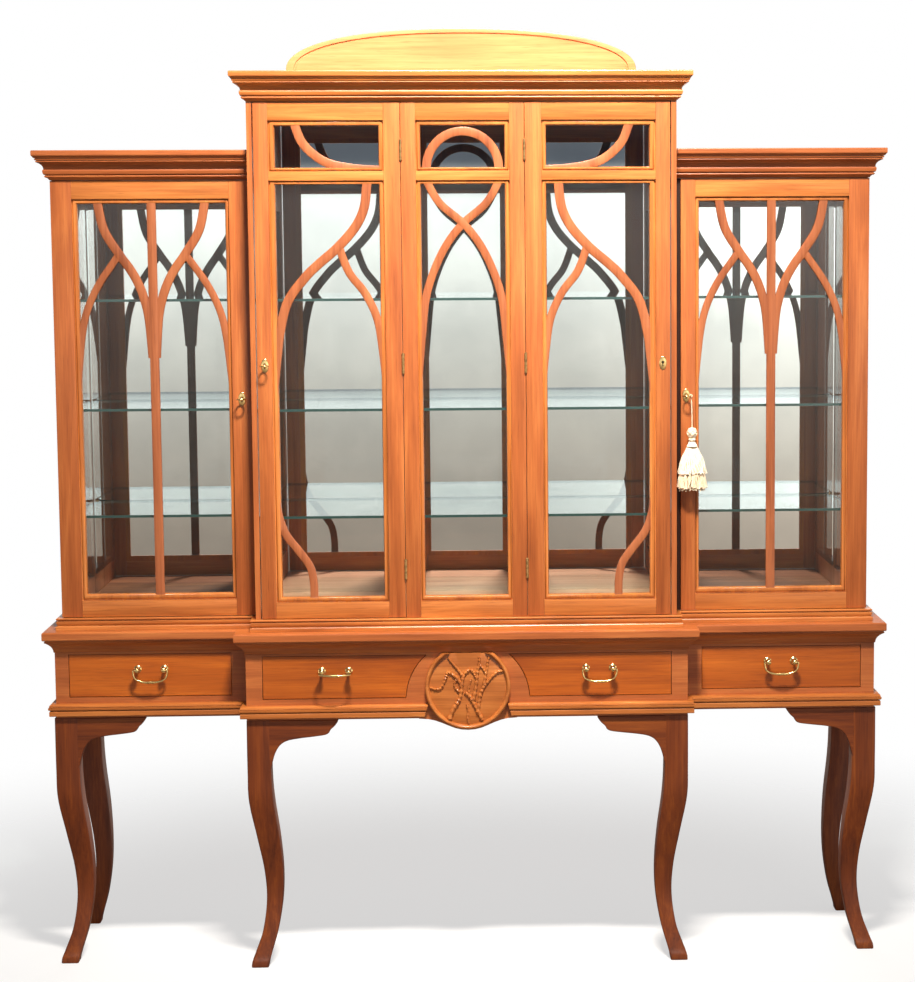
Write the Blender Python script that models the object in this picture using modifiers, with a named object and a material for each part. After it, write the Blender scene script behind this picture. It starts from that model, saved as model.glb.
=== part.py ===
"""Breakfront china cabinet on a stand with cabriole legs.

Metres, +Z up, +X to the right seen from the front, the front faces -Y.
The origin is on the floor under the middle of the cabinet.
"""

import math

import bmesh
import bpy
from mathutils import Matrix, Vector

# ---------------------------------------------------------------- driving sizes
GAP = 0.0003

# Depth places, all measured from the face of the side doors.
FACE = -0.1265  # where the side doors' face stands in the frame
STEP = 0.061  # how far the centre bay stands forward of the side bays
CASE_BACK = FACE + 0.3785
BACK_THICK = 0.012
MIRROR_THICK = 0.004
MIRROR_FACE = CASE_BACK - BACK_THICK - MIRROR_THICK - GAP

# Upper case.
CASE_HALF = 0.930
CENTRE_HALF = 0.4815
CENTRE_SIDE = 0.012
SIDE_THICK = 0.018
FLOOR_BOTTOM = 0.7773
CASE_BOTTOM = 0.805
SIDE_TOP = 1.8010
CENTRE_TOP = 1.9715
CORNICE_HEIGHT = 0.066
PEDIMENT_HALF = 0.3885
PEDIMENT_RISE = 0.0915
PEDIMENT_POWER = 2.25
PEDIMENT_THICK = 0.018

# Doors.
DOOR_THICK = 0.020
DOOR_PLAY = 0.001
CENTRE_DOOR_IN = 0.1395
CENTRE_DOOR_OUT = 0.4673
PANEL_HALF = 0.1385
LEFT_DOOR_IN = 0.4843
RIGHT_DOOR_IN = 0.4963
OPENING_OUT = 0.8715
OPENING_IN = 0.5390
SIDE_GLASS_BOTTOM = 0.8580
SIDE_GLASS_TOP = 1.7485
CENTRE_GLASS_IN = 0.1880
CENTRE_GLASS_OUT = 0.4200
PANEL_GLASS_HALF = 0.0940
CENTRE_GLASS_BOTTOM = 0.8545
TRANSOM_BOTTOM = 1.7880
TRANSOM_TOP = 1.8255
CENTRE_GLASS_TOP = 1.9180
FRET_SETBACK = 0.005
FRET_THICK = 0.006
FRET_STEP = 0.0002  # each crossing bar is a little thinner than the one before
PANE_SETBACK = 0.0114
PANE_THICK = 0.003

# Shelves.
SHELF_HEIGHTS = (1.032, 1.277, 1.527)
SHELF_THICK = 0.006
SHELF_CORNER = 0.060

# Stand.
STAND_HALF = 0.946
STAND_CENTRE_HALF = 0.505
STAND_FACE = FACE - 0.020
STAND_BACK = FACE + 0.350
FRIEZE_THICK = 0.018
FRIEZE_BOTTOM = 0.575
FRIEZE_TOP = 0.7270
TABLE_TOP = 0.7770
TABLE_BACK = FACE + 0.385
MOULDING_BOTTOM = 0.580
MOULDING_STOP = 0.101
MEDALLION_RADIUS = 0.0975
MEDALLION_HEIGHT = 0.6480
MEDALLION_THICK = 0.012
MEDALLION_RIM = 0.016

# Drawers.
DRAWER_BOTTOM = 0.6235
DRAWER_TOP = 0.7215
DRAWER_PLAY = 0.0010
SIDE_DRAWER_OUT = 0.9140
SIDE_DRAWER_IN = 0.5440
CENTRE_DRAWER_OUT = 0.4670
ARC_HEIGHT = 0.6165
ARC_RADIUS = 0.1420
DRAWER_DEPTH = 0.300
DRAWER_WALL = 0.011

# Bail pulls.
POST_HALF = 0.0305
POST_RADIUS = 0.0042
BALL_RADIUS = 0.0060
POST_REACH = 0.0200
PULL_HEIGHT = 0.6870
WIRE_RADIUS = 0.0020
BAIL_DROP = 0.029
BAIL_HALF = POST_HALF + BALL_RADIUS + WIRE_RADIUS + 0.0003
RAISED_ANGLE = math.radians(84)

# Locks and keys.
SIDE_LOCK_X = 0.5085
SIDE_LOCK_Z = 1.3050
CENTRE_LOCK_X = 0.4500
CENTRE_LOCK_Z = 1.3830
KEYHOLE_RADIUS = 0.0042
KEY_SHANK_RADIUS = 0.0026
KEY_BURIED = 0.012
KEY_REACH = 0.030
BOW_RADIUS = 0.0110
BOW_WIRE = 0.0016

# Tassel on its cord.
CORD_DIAMETER = 0.0024
TASSEL_RADIUS = 0.034
TASSEL_LENGTH = 0.145
TASSEL_FLAT = 0.58  # the skirt is this much thinner than it is wide

# Legs: distance in from the leg's outer edge, read up the leg.
LEG_TOP = FRIEZE_BOTTOM - GAP
LEG_PROUD = 0.004
LEG_SIDE = (
    (0.000, 0.003, 0.038),
    (0.030, 0.010, 0.048),
    (0.080, 0.027, 0.062),
    (0.150, 0.036, 0.073),
    (0.220, 0.032, 0.075),
    (0.300, 0.018, 0.069),
    (0.385, 0.002, 0.058),
    (0.455, 0.000, 0.054),
    (LEG_TOP, 0.000, 0.054),
)
# The same leg from the side: a front foot kicks forward, a rear foot stands straight.
LEG_DEPTH = (
    (0.000, -0.012, 0.024),
    (0.030, -0.002, 0.036),
    (0.080, 0.016, 0.052),
    (0.150, 0.027, 0.064),
    (0.220, 0.024, 0.066),
    (0.300, 0.011, 0.061),
    (0.385, 0.001, 0.055),
    (0.455, 0.000, 0.052),
    (LEG_TOP, 0.000, 0.052),
)
REAR_DEPTH = (
    (0.000, 0.020, 0.058),
    (0.030, 0.022, 0.062),
    (0.080, 0.028, 0.068),
    (0.150, 0.033, 0.072),
    (0.220, 0.029, 0.070),
    (0.300, 0.014, 0.064),
    (0.385, 0.002, 0.056),
    (0.455, 0.000, 0.052),
    (LEG_TOP, 0.000, 0.052),
)
EAR_THICK = 0.020
EAR_LENGTH = 0.208
EAR_SIDE_LENGTH = 0.130

CABINET = bpy.data.collections.new("china_cabinet")
CUTTERS = bpy.data.collections.new("cutters")


# ---------------------------------------------------------------- materials
def material(name, colour, roughness, metallic=0.0, alpha=1.0):
    """A Principled material of one colour."""
    made = bpy.data.materials.new(name)
    made.use_nodes = True
    shader = made.node_tree.nodes["Principled BSDF"]
    shader.inputs["Base Color"].default_value = (*colour, 1.0)
    shader.inputs["Roughness"].default_value = roughness
    shader.inputs["Metallic"].default_value = metallic
    shader.inputs["Alpha"].default_value = alpha
    return made


def make_materials():
    """The cabinet's finishes."""
    return {
        "wood": material("cherry_wood", (0.46, 0.17, 0.055), 0.38),
        "dark_wood": material("leg_wood", (0.24, 0.075, 0.028), 0.40),
        "plain_wood": material("inner_wood", (0.30, 0.13, 0.055), 0.60),
        "glass": material("clear_glass", (0.90, 0.96, 0.94), 0.02, 0.0, 0.25),
        "mirror": material("mirror_glass", (0.90, 0.91, 0.92), 0.02, 1.0),
        "brass": material("brass", (0.80, 0.56, 0.25), 0.25, 1.0),
        "silk": material("tassel_silk", (0.93, 0.86, 0.70), 0.70),
    }


# ---------------------------------------------------------------- shape helpers
def add_object(name, mesh, finish, collection=None):
    """Links a mesh as a named object with one material."""
    made = bpy.data.objects.new(name, mesh)
    if finish is not None:
        mesh.materials.clear()
        mesh.materials.append(finish)
    (collection or CABINET).objects.link(made)
    return made


def box(name, low, high, finish):
    """A rectangular board between two corners."""
    builder = bmesh.new()
    bmesh.ops.create_cube(builder, size=1.0)
    low, high = Vector(low), Vector(high)
    size = high - low
    bmesh.ops.scale(builder, vec=size, verts=builder.verts)
    bmesh.ops.translate(builder, vec=(low + high) / 2, verts=builder.verts)
    mesh = bpy.data.meshes.new(name)
    builder.to_mesh(mesh)
    builder.free()
    return add_object(name, mesh, finish)


def to_mesh(curve_object, name, finish):
    """Turns a filled curve into a closed mesh object that stands in its place."""
    bpy.context.view_layer.update()
    graph = bpy.context.evaluated_depsgraph_get()
    mesh = bpy.data.meshes.new_from_object(curve_object.evaluated_get(graph))
    builder = bmesh.new()
    builder.from_mesh(mesh)
    bmesh.ops.remove_doubles(builder, verts=builder.verts, dist=0.00001)
    bmesh.ops.recalc_face_normals(builder, faces=builder.faces)
    builder.to_mesh(mesh)
    builder.free()
    matrix = curve_object.matrix_world.copy()
    curve = curve_object.data
    bpy.data.objects.remove(curve_object)
    bpy.data.curves.remove(curve)
    mesh.transform(matrix)
    mesh.name = name
    return add_object(name, mesh, finish)


def plate(name, outline, plane, low, high, finish):
    """A flat outline given thickness. plane is XY, XZ or YZ, low and high are across it."""
    curve = bpy.data.curves.new(name, "CURVE")
    curve.dimensions = "2D"
    curve.fill_mode = "BOTH"
    curve.extrude = (high - low) / 2
    spline = curve.splines.new("POLY")
    spline.points.add(len(outline) - 1)
    for point, (u, v) in zip(spline.points, outline):
        point.co = (u, v, 0.0, 1.0)
    spline.use_cyclic_u = True
    made = bpy.data.objects.new(name, curve)
    CABINET.objects.link(made)
    middle = (low + high) / 2
    if plane == "XY":
        made.location = (0.0, 0.0, middle)
    elif plane == "XZ":
        made.rotation_euler = (math.pi / 2, 0.0, 0.0)
        made.location = (0.0, middle, 0.0)
    else:
        made.rotation_euler = (math.pi / 2, 0.0, math.pi / 2)
        made.location = (middle, 0.0, 0.0)
    return to_mesh(made, name, finish)


def wire(name, points, radius, finish, resolution=2):
    """A round wire through points, with closed ends."""
    curve = bpy.data.curves.new(name, "CURVE")
    curve.dimensions = "3D"
    curve.bevel_depth = radius
    curve.bevel_resolution = resolution
    curve.use_fill_caps = True
    spline = curve.splines.new("POLY")
    spline.points.add(len(points) - 1)
    for point, place in zip(spline.points, points):
        point.co = (*place, 1.0)
    made = bpy.data.objects.new(name, curve)
    CABINET.objects.link(made)
    return to_mesh(made, name, finish)


def stack(name, outline_at, levels, finish):
    """A moulded slab: the outline is drawn up through levels of (height, overhang)."""
    builder = bmesh.new()
    first_height, first_overhang = levels[0]
    ring = [builder.verts.new((x, y, first_height)) for x, y in outline_at(first_overhang)]
    face = builder.faces.new(ring)
    for step, (height, overhang) in enumerate(levels[1:]):
        grown = bmesh.ops.extrude_face_region(builder, geom=[face])
        if step:
            bmesh.ops.delete(builder, geom=[face], context="FACES_ONLY")
        face = next(item for item in grown["geom"] if isinstance(item, bmesh.types.BMFace))
        for vert, (x, y) in zip(face.verts, outline_at(overhang)):
            vert.co = (x, y, height)
    bmesh.ops.recalc_face_normals(builder, faces=builder.faces)
    mesh = bpy.data.meshes.new(name)
    builder.to_mesh(mesh)
    builder.free()
    return add_object(name, mesh, finish)


def turned(name, profile, axis_from, axis_to, finish, steps=24):
    """A turned piece: a profile of (radius, distance) spun about a line."""
    builder = bmesh.new()
    verts = [builder.verts.new((radius, 0.0, along)) for radius, along in profile]
    for first, second in zip(verts, verts[1:]):
        builder.edges.new((first, second))
    mesh = bpy.data.meshes.new(name)
    builder.to_mesh(mesh)
    builder.free()
    made = add_object(name, mesh, finish)
    spin = made.modifiers.new("turn", "SCREW")
    spin.steps = steps
    spin.render_steps = steps
    spin.use_merge_vertices = True
    spin.merge_threshold = 0.00005
    spin.use_smooth_shade = True
    aim = Vector(axis_to) - Vector(axis_from)
    made.location = axis_from
    made.rotation_euler = aim.to_track_quat("Z", "Y").to_euler()
    return bake(made)


def bake(made):
    """Applies an object's modifiers and placement to its mesh."""
    bpy.context.view_layer.update()
    graph = bpy.context.evaluated_depsgraph_get()
    mesh = bpy.data.meshes.new_from_object(made.evaluated_get(graph))
    builder = bmesh.new()
    builder.from_mesh(mesh)
    bmesh.ops.remove_doubles(builder, verts=builder.verts, dist=0.00001)
    bmesh.ops.recalc_face_normals(builder, faces=builder.faces)
    builder.to_mesh(mesh)
    builder.free()
    mesh.transform(made.matrix_world)
    made.modifiers.clear()
    made.data = mesh
    made.matrix_world = Matrix.Identity(4)
    return made


def combine(made, other, operation):
    """Cuts or joins another object into this one and keeps the other only as a cutter."""
    step = made.modifiers.new(operation.lower(), "BOOLEAN")
    step.operation = operation
    step.object = other
    step.solver = "EXACT"
    bake(made)
    for collection in list(other.users_collection):
        collection.objects.unlink(other)
    CUTTERS.objects.link(other)
    other.hide_render = True
    other.display_type = "WIRE"
    return made


def cut(made, other):
    return combine(made, other, "DIFFERENCE")


def join(made, other):
    return combine(made, other, "UNION")


def ribbon(points, width):
    """The outline of a flat bar of one width that follows a smooth line through points."""
    line = smooth_line(points)
    left, right = [], []
    for index, (x, z) in enumerate(line):
        before = line[max(index - 1, 0)]
        after = line[min(index + 1, len(line) - 1)]
        along = Vector((after[0] - before[0], after[1] - before[1])).normalized()
        side = Vector((-along.y, along.x)) * width / 2
        left.append((x + side.x, z + side.y))
        right.append((x - side.x, z - side.y))
    return left + right[::-1]


def smooth_line(points, between=2):
    """Points on a Catmull-Rom curve through the given ones."""
    ends = [points[0], *points, points[-1]]
    line = []
    for p0, p1, p2, p3 in zip(ends, ends[1:], ends[2:], ends[3:]):
        for step in range(between):
            t = step / between
            line.append(
                tuple(
                    0.5
                    * (
                        2 * b
                        + (c - a) * t
                        + (2 * a - 5 * b + 4 * c - d) * t * t
                        + (3 * b - a - 3 * c + d) * t * t * t
                    )
                    for a, b, c, d in zip(p0, p1, p2, p3)
                )
            )
    line.append(points[-1])
    return line


def mirrored(points, sign):
    """Points with their x turned to the side that sign names, in the same winding."""
    turned_points = [(sign * x, z) for x, z in points]
    return turned_points if sign > 0 else turned_points[::-1]


def pivot(name, place):
    """An empty on a joint's axis."""
    made = bpy.data.objects.new(name, None)
    made.location = place
    made.empty_display_size = 0.05
    CABINET.objects.link(made)
    return made


def hang(made, parent):
    """Parents an object to a pivot and leaves it where it is."""
    made.parent = parent
    made.matrix_parent_inverse = Matrix.Translation(-Vector(parent.location))


# ---------------------------------------------------------------- outlines seen from above
def case_outline(overhang):
    """The upper case's breakfront plan, moulded on the front and the sides."""
    outer, inner = CASE_HALF + overhang, CENTRE_HALF + overhang
    front, centre = FACE - overhang, FACE - STEP - overhang
    return [
        (-outer, CASE_BACK),
        (-outer, front),
        (-inner, front),
        (-inner, centre),
        (inner, centre),
        (inner, front),
        (outer, front),
        (outer, CASE_BACK),
    ]


def table_outline(overhang):
    """The stand's breakfront plan under the table top."""
    outer, inner = STAND_HALF + overhang, STAND_CENTRE_HALF + overhang
    front, centre = STAND_FACE - overhang, STAND_FACE - STEP - overhang
    return [
        (-outer, TABLE_BACK),
        (-outer, front),
        (-inner, front),
        (-inner, centre),
        (inner, centre),
        (inner, front),
        (outer, front),
        (outer, TABLE_BACK),
    ]


def side_cornice_outline(sign):
    """The plan of one side bay's cornice; its inner end meets the centre case."""

    def at(overhang):
        outer = CASE_HALF + overhang
        inner = CENTRE_HALF + GAP + (0.004 if sign > 0 else 0.0)
        plan = [
            (inner, CASE_BACK),
            (inner, FACE - overhang),
            (outer, FACE - overhang),
            (outer, CASE_BACK),
        ]
        return [(sign * x, y) for x, y in plan]

    return at


def centre_cornice_outline(overhang):
    """The plan of the centre bay's cornice."""
    half = CENTRE_HALF + overhang
    return [
        (-half, CASE_BACK),
        (-half, FACE - STEP - overhang),
        (half, FACE - STEP - overhang),
        (half, CASE_BACK),
    ]


def lower_moulding_outline(sign):
    """The plan of one run of the moulding below the drawers, from the back to the medallion."""

    def at(overhang):
        outer, inner = STAND_HALF + overhang, STAND_CENTRE_HALF + overhang
        front, centre = STAND_FACE - overhang, STAND_FACE - STEP - overhang
        plan = [
            (outer, STAND_BACK),
            (outer, front),
            (inner, front),
            (inner, centre),
            (MOULDING_STOP, centre),
            (MOULDING_STOP, STAND_FACE - STEP - GAP),
            (STAND_CENTRE_HALF + GAP, STAND_FACE - STEP - GAP),
            (STAND_CENTRE_HALF + GAP, STAND_FACE - GAP),
            (STAND_HALF + GAP, STAND_FACE - GAP),
            (STAND_HALF + GAP, STAND_BACK),
        ]
        return [(sign * x, y) for x, y in plan]

    return at


# Heights above the moulding's foot, and how far it stands out there.
CORNICE_PROFILE = (
    (0.0003, 0.0005),
    (0.0035, 0.0020),
    (0.0065, 0.0075),
    (0.0110, 0.0100),
    (0.0130, 0.0120),
    (0.0270, 0.0130),
    (0.0315, 0.0150),
    (0.0360, 0.0185),
    (0.0410, 0.0250),
    (0.0450, 0.0270),
    (0.0530, 0.0310),
    (0.0535, 0.0345),
    (CORNICE_HEIGHT, 0.0345),
)
TABLE_PROFILE = (
    (FRIEZE_TOP + GAP, 0.002),
    (0.7370, 0.004),
    (0.7480, 0.010),
    (0.7560, 0.0195),
    (0.7570, 0.0245),
    (TABLE_TOP, 0.0245),
)
WAIST_PROFILE = (
    (FLOOR_BOTTOM, 0.0140),
    (0.7860, 0.0140),
    (0.7880, 0.0110),
    (0.8010, 0.0110),
    (CASE_BOTTOM - GAP, 0.0050),
)
LOWER_PROFILE = (
    (MOULDING_BOTTOM, 0.0140),
    (0.5935, 0.0140),
    (0.5940, 0.0160),
    (0.6060, 0.0160),
    (0.6090, 0.0120),
)


# The frieze's edge where it drops round the foot of the medallion, from one side to its middle.
FRIEZE_DROP = (
    (-0.118, 0.5850),
    (-0.112, 0.5740),
    (-0.090, 0.5725),
    (-0.075, 0.5690),
    (-0.060, 0.5635),
    (-0.045, 0.5570),
    (-0.030, 0.5510),
    (-0.015, 0.5475),
    (0.000, 0.5465),
)


# ---------------------------------------------------------------- stand
def make_table_top(finish):
    return stack("table_top", table_outline, TABLE_PROFILE, finish["wood"])


def drawer_outline(which, sign, play):
    """The front of a drawer, or its hole with play added, seen from the front."""
    low, high = DRAWER_BOTTOM - play, DRAWER_TOP + play
    if which == "side":
        near, far = SIDE_DRAWER_IN - play, SIDE_DRAWER_OUT + play
        return mirrored([(near, low), (far, low), (far, high), (near, high)], sign)
    radius = ARC_RADIUS - play
    start = math.asin((low - ARC_HEIGHT) / radius)
    end = math.asin((high - ARC_HEIGHT) / radius)
    steps = 8
    arc = []
    for index in range(steps + 1):
        angle = end + (start - end) * index / steps
        arc.append((radius * math.cos(angle), ARC_HEIGHT + radius * math.sin(angle)))
    far = CENTRE_DRAWER_OUT + play
    return mirrored([(far, low), (far, high), *arc], sign)


def drawer_face(which):
    """Where a drawer's front stands."""
    return STAND_FACE if which == "side" else STAND_FACE - STEP


def make_frieze(finish):
    """The breakfront frame round the drawers, with its two returns."""
    outer, inner = STAND_HALF, STAND_CENTRE_HALF
    front, centre = STAND_FACE, STAND_FACE - STEP
    thick = FRIEZE_THICK
    outline = [
        (-outer, front),
        (-inner, front),
        (-inner, centre),
        (inner, centre),
        (inner, front),
        (outer, front),
        (outer, front + thick),
        (inner - thick, front + thick),
        (inner - thick, centre + thick),
        (-inner + thick, centre + thick),
        (-inner + thick, front + thick),
        (-outer, front + thick),
    ]
    frieze = plate("frieze", outline, "XY", FRIEZE_BOTTOM, FRIEZE_TOP, finish["wood"])
    for which in ("side", "centre"):
        for sign in (-1, 1):
            hole = drawer_outline(which, sign, DRAWER_PLAY)
            face = drawer_face(which)
            tool = plate("hole", hole, "XZ", face - 0.01, face + thick + 0.01, None)
            cut(frieze, tool)
    drop = [(x, z) for x, z in FRIEZE_DROP] + [(-x, z) for x, z in FRIEZE_DROP[-2::-1]]
    back = centre + thick
    tool = plate("drop", drop, "XZ", centre, back, None)
    return join(frieze, tool)


def make_stand_case(finish):
    """The stand's two sides and its back, one U-shaped frame of boards."""
    outer = STAND_HALF
    inner = outer - FRIEZE_THICK
    front = STAND_FACE + FRIEZE_THICK + GAP
    back = STAND_BACK
    outline = [
        (-outer, back),
        (-outer, front),
        (-inner, front),
        (-inner, back - FRIEZE_THICK),
        (inner, back - FRIEZE_THICK),
        (inner, front),
        (outer, front),
        (outer, back),
    ]
    return plate("stand_case", outline, "XY", FRIEZE_BOTTOM, FRIEZE_TOP, finish["wood"])


def make_dust_board(finish):
    """The bottom board under the drawers."""
    outer = STAND_HALF - FRIEZE_THICK - GAP
    inner = STAND_CENTRE_HALF - FRIEZE_THICK - GAP
    front = STAND_FACE + FRIEZE_THICK + GAP
    back = STAND_BACK - FRIEZE_THICK - GAP
    outline = [
        (-outer, back),
        (-outer, front),
        (-inner, front),
        (-inner, front - STEP),
        (inner, front - STEP),
        (inner, front),
        (outer, front),
        (outer, back),
    ]
    return plate("dust_board", outline, "XY", 0.590, 0.602, finish["plain_wood"])


def make_lower_mouldings(finish):
    for sign, side in ((-1, "left"), (1, "right")):
        name = f"lower_moulding_{side}"
        stack(name, lower_moulding_outline(sign), LOWER_PROFILE, finish["wood"])


def make_medallion(finish):
    """The round plaque with a raised rim, cut level under the table top."""
    radius, rim = MEDALLION_RADIUS, MEDALLION_RIM
    floor = MEDALLION_THICK - 0.003
    profile = [
        (0.0, floor),
        (radius - 0.011, floor),
        (radius - 0.009, rim - 0.001),
        (radius - 0.006, rim),
        (radius - 0.002, rim - 0.001),
        (radius, rim - 0.004),
        (radius, 0.0),
        (0.0, 0.0),
    ]
    back = STAND_FACE - STEP - GAP
    start = (0.0, back, MEDALLION_HEIGHT)
    end = (0.0, back - 1.0, MEDALLION_HEIGHT)
    medallion = turned("medallion", profile, start, end, finish["wood"], 40)
    tool = box("above", (-0.2, back - 0.05, FRIEZE_TOP - 0.0005), (0.2, back + 0.05, 0.8), None)
    return cut(medallion, tool)


def leg_outline(table, edge, inward):
    """The two edges of a leg as one closed outline. inward is +1 or -1 along the axis."""
    outer = [(edge + inward * near, height) for height, near, far in table]
    inner = [(edge + inward * far, height) for height, near, far in table]
    return outer + inner[::-1]


def ear_outline(edge, inward, length, start=0.046):
    """The bracket beside a leg's head, with its curved lower edge."""
    drop = (
        (start, 0.440),
        (0.058, 0.500),
        (0.078, 0.524),
        (0.115, 0.531),
        (0.178, 0.540),
        (0.195, 0.552),
        (0.208, LEG_TOP),
        (start, LEG_TOP),
    )
    reach = (length - start) / (EAR_LENGTH - start)
    return [(edge + inward * (start + (away - start) * reach), height) for away, height in drop]


def make_leg(name, x_edge, y_edge, inward_x, inward_y, side_ear, finish):
    """A cabriole leg: two sawn outlines crossed, with its ears joined on."""
    across = leg_outline(LEG_SIDE, x_edge, inward_x)
    y_low, y_high = sorted((y_edge - inward_y * 0.02, y_edge + inward_y * 0.08))
    leg = plate(name, across, "XZ", y_low, y_high, finish)
    deep = leg_outline(LEG_DEPTH if inward_y > 0 else REAR_DEPTH, y_edge, inward_y)
    x_low, x_high = sorted((x_edge - inward_x * 0.02, x_edge + inward_x * 0.10))
    tool = plate("sawn", deep, "YZ", x_low, x_high, None)
    combine(leg, tool, "INTERSECT")
    if inward_y > 0:
        y_low, y_high = sorted((y_edge, y_edge + inward_y * EAR_THICK))
        ear = ear_outline(x_edge, inward_x, EAR_LENGTH)
        join(leg, plate("ear", ear, "XZ", y_low, y_high, None))
    if side_ear:
        x_low, x_high = sorted((x_edge, x_edge + inward_x * EAR_THICK))
        ear = ear_outline(y_edge, inward_y, EAR_SIDE_LENGTH, 0.045)
        join(leg, plate("ear", ear, "YZ", x_low, x_high, None))
    return leg


def make_legs(finish):
    wood = finish["dark_wood"]
    front = STAND_FACE - LEG_PROUD
    for sign, side in ((-1, "left"), (1, "right")):
        outer = sign * (STAND_HALF + LEG_PROUD)
        centre = sign * (STAND_CENTRE_HALF + 0.0005)
        make_leg(f"leg_front_{side}", outer, front, -sign, 1, True, wood)
        make_leg(f"leg_centre_{side}", centre, front - STEP, -sign, 1, False, wood)
        make_leg(f"leg_rear_{side}", outer, STAND_BACK, -sign, -1, True, wood)


def make_drawer(which, sign, side, finish):
    """An open box behind a front that fills its hole, with two ball posts on the front."""
    face = drawer_face(which)
    name = f"drawer_{which}_{side}"
    front = drawer_outline(which, sign, 0.0)
    drawer = plate(name, front, "XZ", face, face + FRIEZE_THICK, finish["wood"])
    if which == "side":
        near, far = SIDE_DRAWER_IN + 0.012, SIDE_DRAWER_OUT - 0.012
    else:
        near, far = ARC_RADIUS + 0.012, CENTRE_DRAWER_OUT - 0.012
    low, high = DRAWER_BOTTOM + 0.004, DRAWER_TOP - 0.012
    x_low, x_high = sorted((sign * near, sign * far))
    back = face + DRAWER_DEPTH
    body = box("body", (x_low, face + 0.010, low), (x_high, back, high), finish["wood"])
    join(drawer, body)
    wall = DRAWER_WALL
    inner_low = (x_low + wall, face + FRIEZE_THICK, low + 0.008)
    inner_high = (x_high - wall, back - wall, high + 0.05)
    cut(drawer, box("hollow", inner_low, inner_high, None))
    middle = sign * pull_middle(which)
    for offset in (-POST_HALF, POST_HALF):
        join(drawer, make_post(middle + offset, face))
    return drawer


def pull_middle(which):
    """How far the pull's middle is from the cabinet's middle."""
    return 0.7270 if which == "side" else 0.3015


def make_post(x, face):
    """One ball post of a pull, standing out of the drawer front."""
    ball, radius = BALL_RADIUS, POST_RADIUS
    profile = [(0.0, POST_REACH + ball)]
    steps = 6
    throat = math.asin(radius / ball)
    for index in range(1, steps + 1):
        angle = (math.pi - throat) * index / steps
        profile.append((ball * math.sin(angle), POST_REACH + ball * math.cos(angle)))
    profile.append((radius, -0.004))
    profile.append((0.0, -0.004))
    start = (x, face, PULL_HEIGHT)
    end = (x, face - 1.0, PULL_HEIGHT)
    return turned("post", profile, start, end, None, 12)


def bail_points(angle):
    """The bail's line about its pivots; angle is how far it is raised."""
    half, drop = BAIL_HALF, BAIL_DROP
    arm = (
        (half, 0.003),
        (half, -0.006),
        (half * 0.97, -0.013),
        (half * 0.87, -0.020),
        (half * 0.64, -0.0255),
        (half * 0.32, -0.0283),
    )
    flat = [(-x, z) for x, z in arm] + [(0.0, -drop)] + list(arm[::-1])
    return [(x, z * math.sin(angle), z * math.cos(angle)) for x, z in flat]


def make_bail(which, sign, side, finish):
    """The swinging handle; the left centre one is stored raised."""
    raised = RAISED_ANGLE if (which, side) == ("centre", "left") else 0.0
    centre = Vector((sign * pull_middle(which), drawer_face(which) - POST_REACH, PULL_HEIGHT))
    points = [centre + Vector(point) for point in bail_points(raised)]
    bail = wire(f"bail_{which}_{side}", points, WIRE_RADIUS, finish["brass"])
    hang(bail, pivot(f"bail_{which}_{side}_axis", centre))
    return bail


def make_drawers(finish):
    for which in ("side", "centre"):
        for sign, side in ((-1, "left"), (1, "right")):
            drawer = make_drawer(which, sign, side, finish)
            place = (sign * pull_middle(which), drawer_face(which), PULL_HEIGHT)
            hang(drawer, pivot(f"drawer_{which}_{side}_slide", place))
            make_bail(which, sign, side, finish)


# ---------------------------------------------------------------- upper case
def make_floor(finish):
    return stack("cabinet_floor", case_outline, WAIST_PROFILE, finish["wood"])


def frame_yz(name, sign, inner, outer, front, back, low, high, holes, finish):
    """An upright board across X with rectangular holes (front, back, low, high)."""
    x_low, x_high = sorted((sign * inner, sign * outer))
    board = box(name, (x_low, front, low), (x_high, back, high), finish)
    for y0, y1, z0, z1 in holes:
        cut(board, box("hole", (x_low - 0.01, y0, z0), (x_high + 0.01, y1, z1), None))
    return board


def make_sides(finish):
    """The glazed outer sides, each with an upright bar, and their panes."""
    front = FACE + DOOR_THICK + DOOR_PLAY
    low, high = CASE_BOTTOM, SIDE_TOP
    middle = (front + MIRROR_FACE) / 2
    holes = [
        (front + 0.040, middle - 0.010, 0.865, 1.742),
        (middle + 0.010, MIRROR_FACE - 0.030, 0.865, 1.742),
    ]
    outer, inner = CASE_HALF, CASE_HALF - SIDE_THICK
    for sign, side in ((-1, "left"), (1, "right")):
        name = f"side_frame_{side}"
        frame_yz(name, sign, inner, outer, front, CASE_BACK, low, high, holes, finish["wood"])
        x_low, x_high = sorted((sign * (inner - GAP), sign * (inner - GAP - 0.004)))
        low_corner = (x_low, front + 0.030, 0.855)
        high_corner = (x_high, MIRROR_FACE - 0.020, 1.752)
        box(f"side_glass_{side}", low_corner, high_corner, finish["glass"])


def make_partitions(finish):
    """The walls of the centre bay: framed glass, with solid wood above the side bays."""
    front = FACE - STEP
    back = MIRROR_FACE - GAP
    hole = (front + 0.065, back - 0.030, 0.865, 1.742)
    outer, inner = CENTRE_HALF, CENTRE_HALF - CENTRE_SIDE
    for sign, side in ((-1, "left"), (1, "right")):
        name = f"partition_{side}"
        frame_yz(
            name, sign, inner, outer, front, back, CASE_BOTTOM, CENTRE_TOP, [hole], finish["wood"]
        )
        middle = (outer + inner) / 2
        x_low, x_high = sorted((sign * (middle - 0.002), sign * (middle + 0.002)))
        low_corner = (x_low, hole[0] + GAP, hole[2] + GAP)
        high_corner = (x_high, hole[1] - GAP, hole[3] - GAP)
        box(f"partition_glass_{side}", low_corner, high_corner, finish["glass"])


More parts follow.
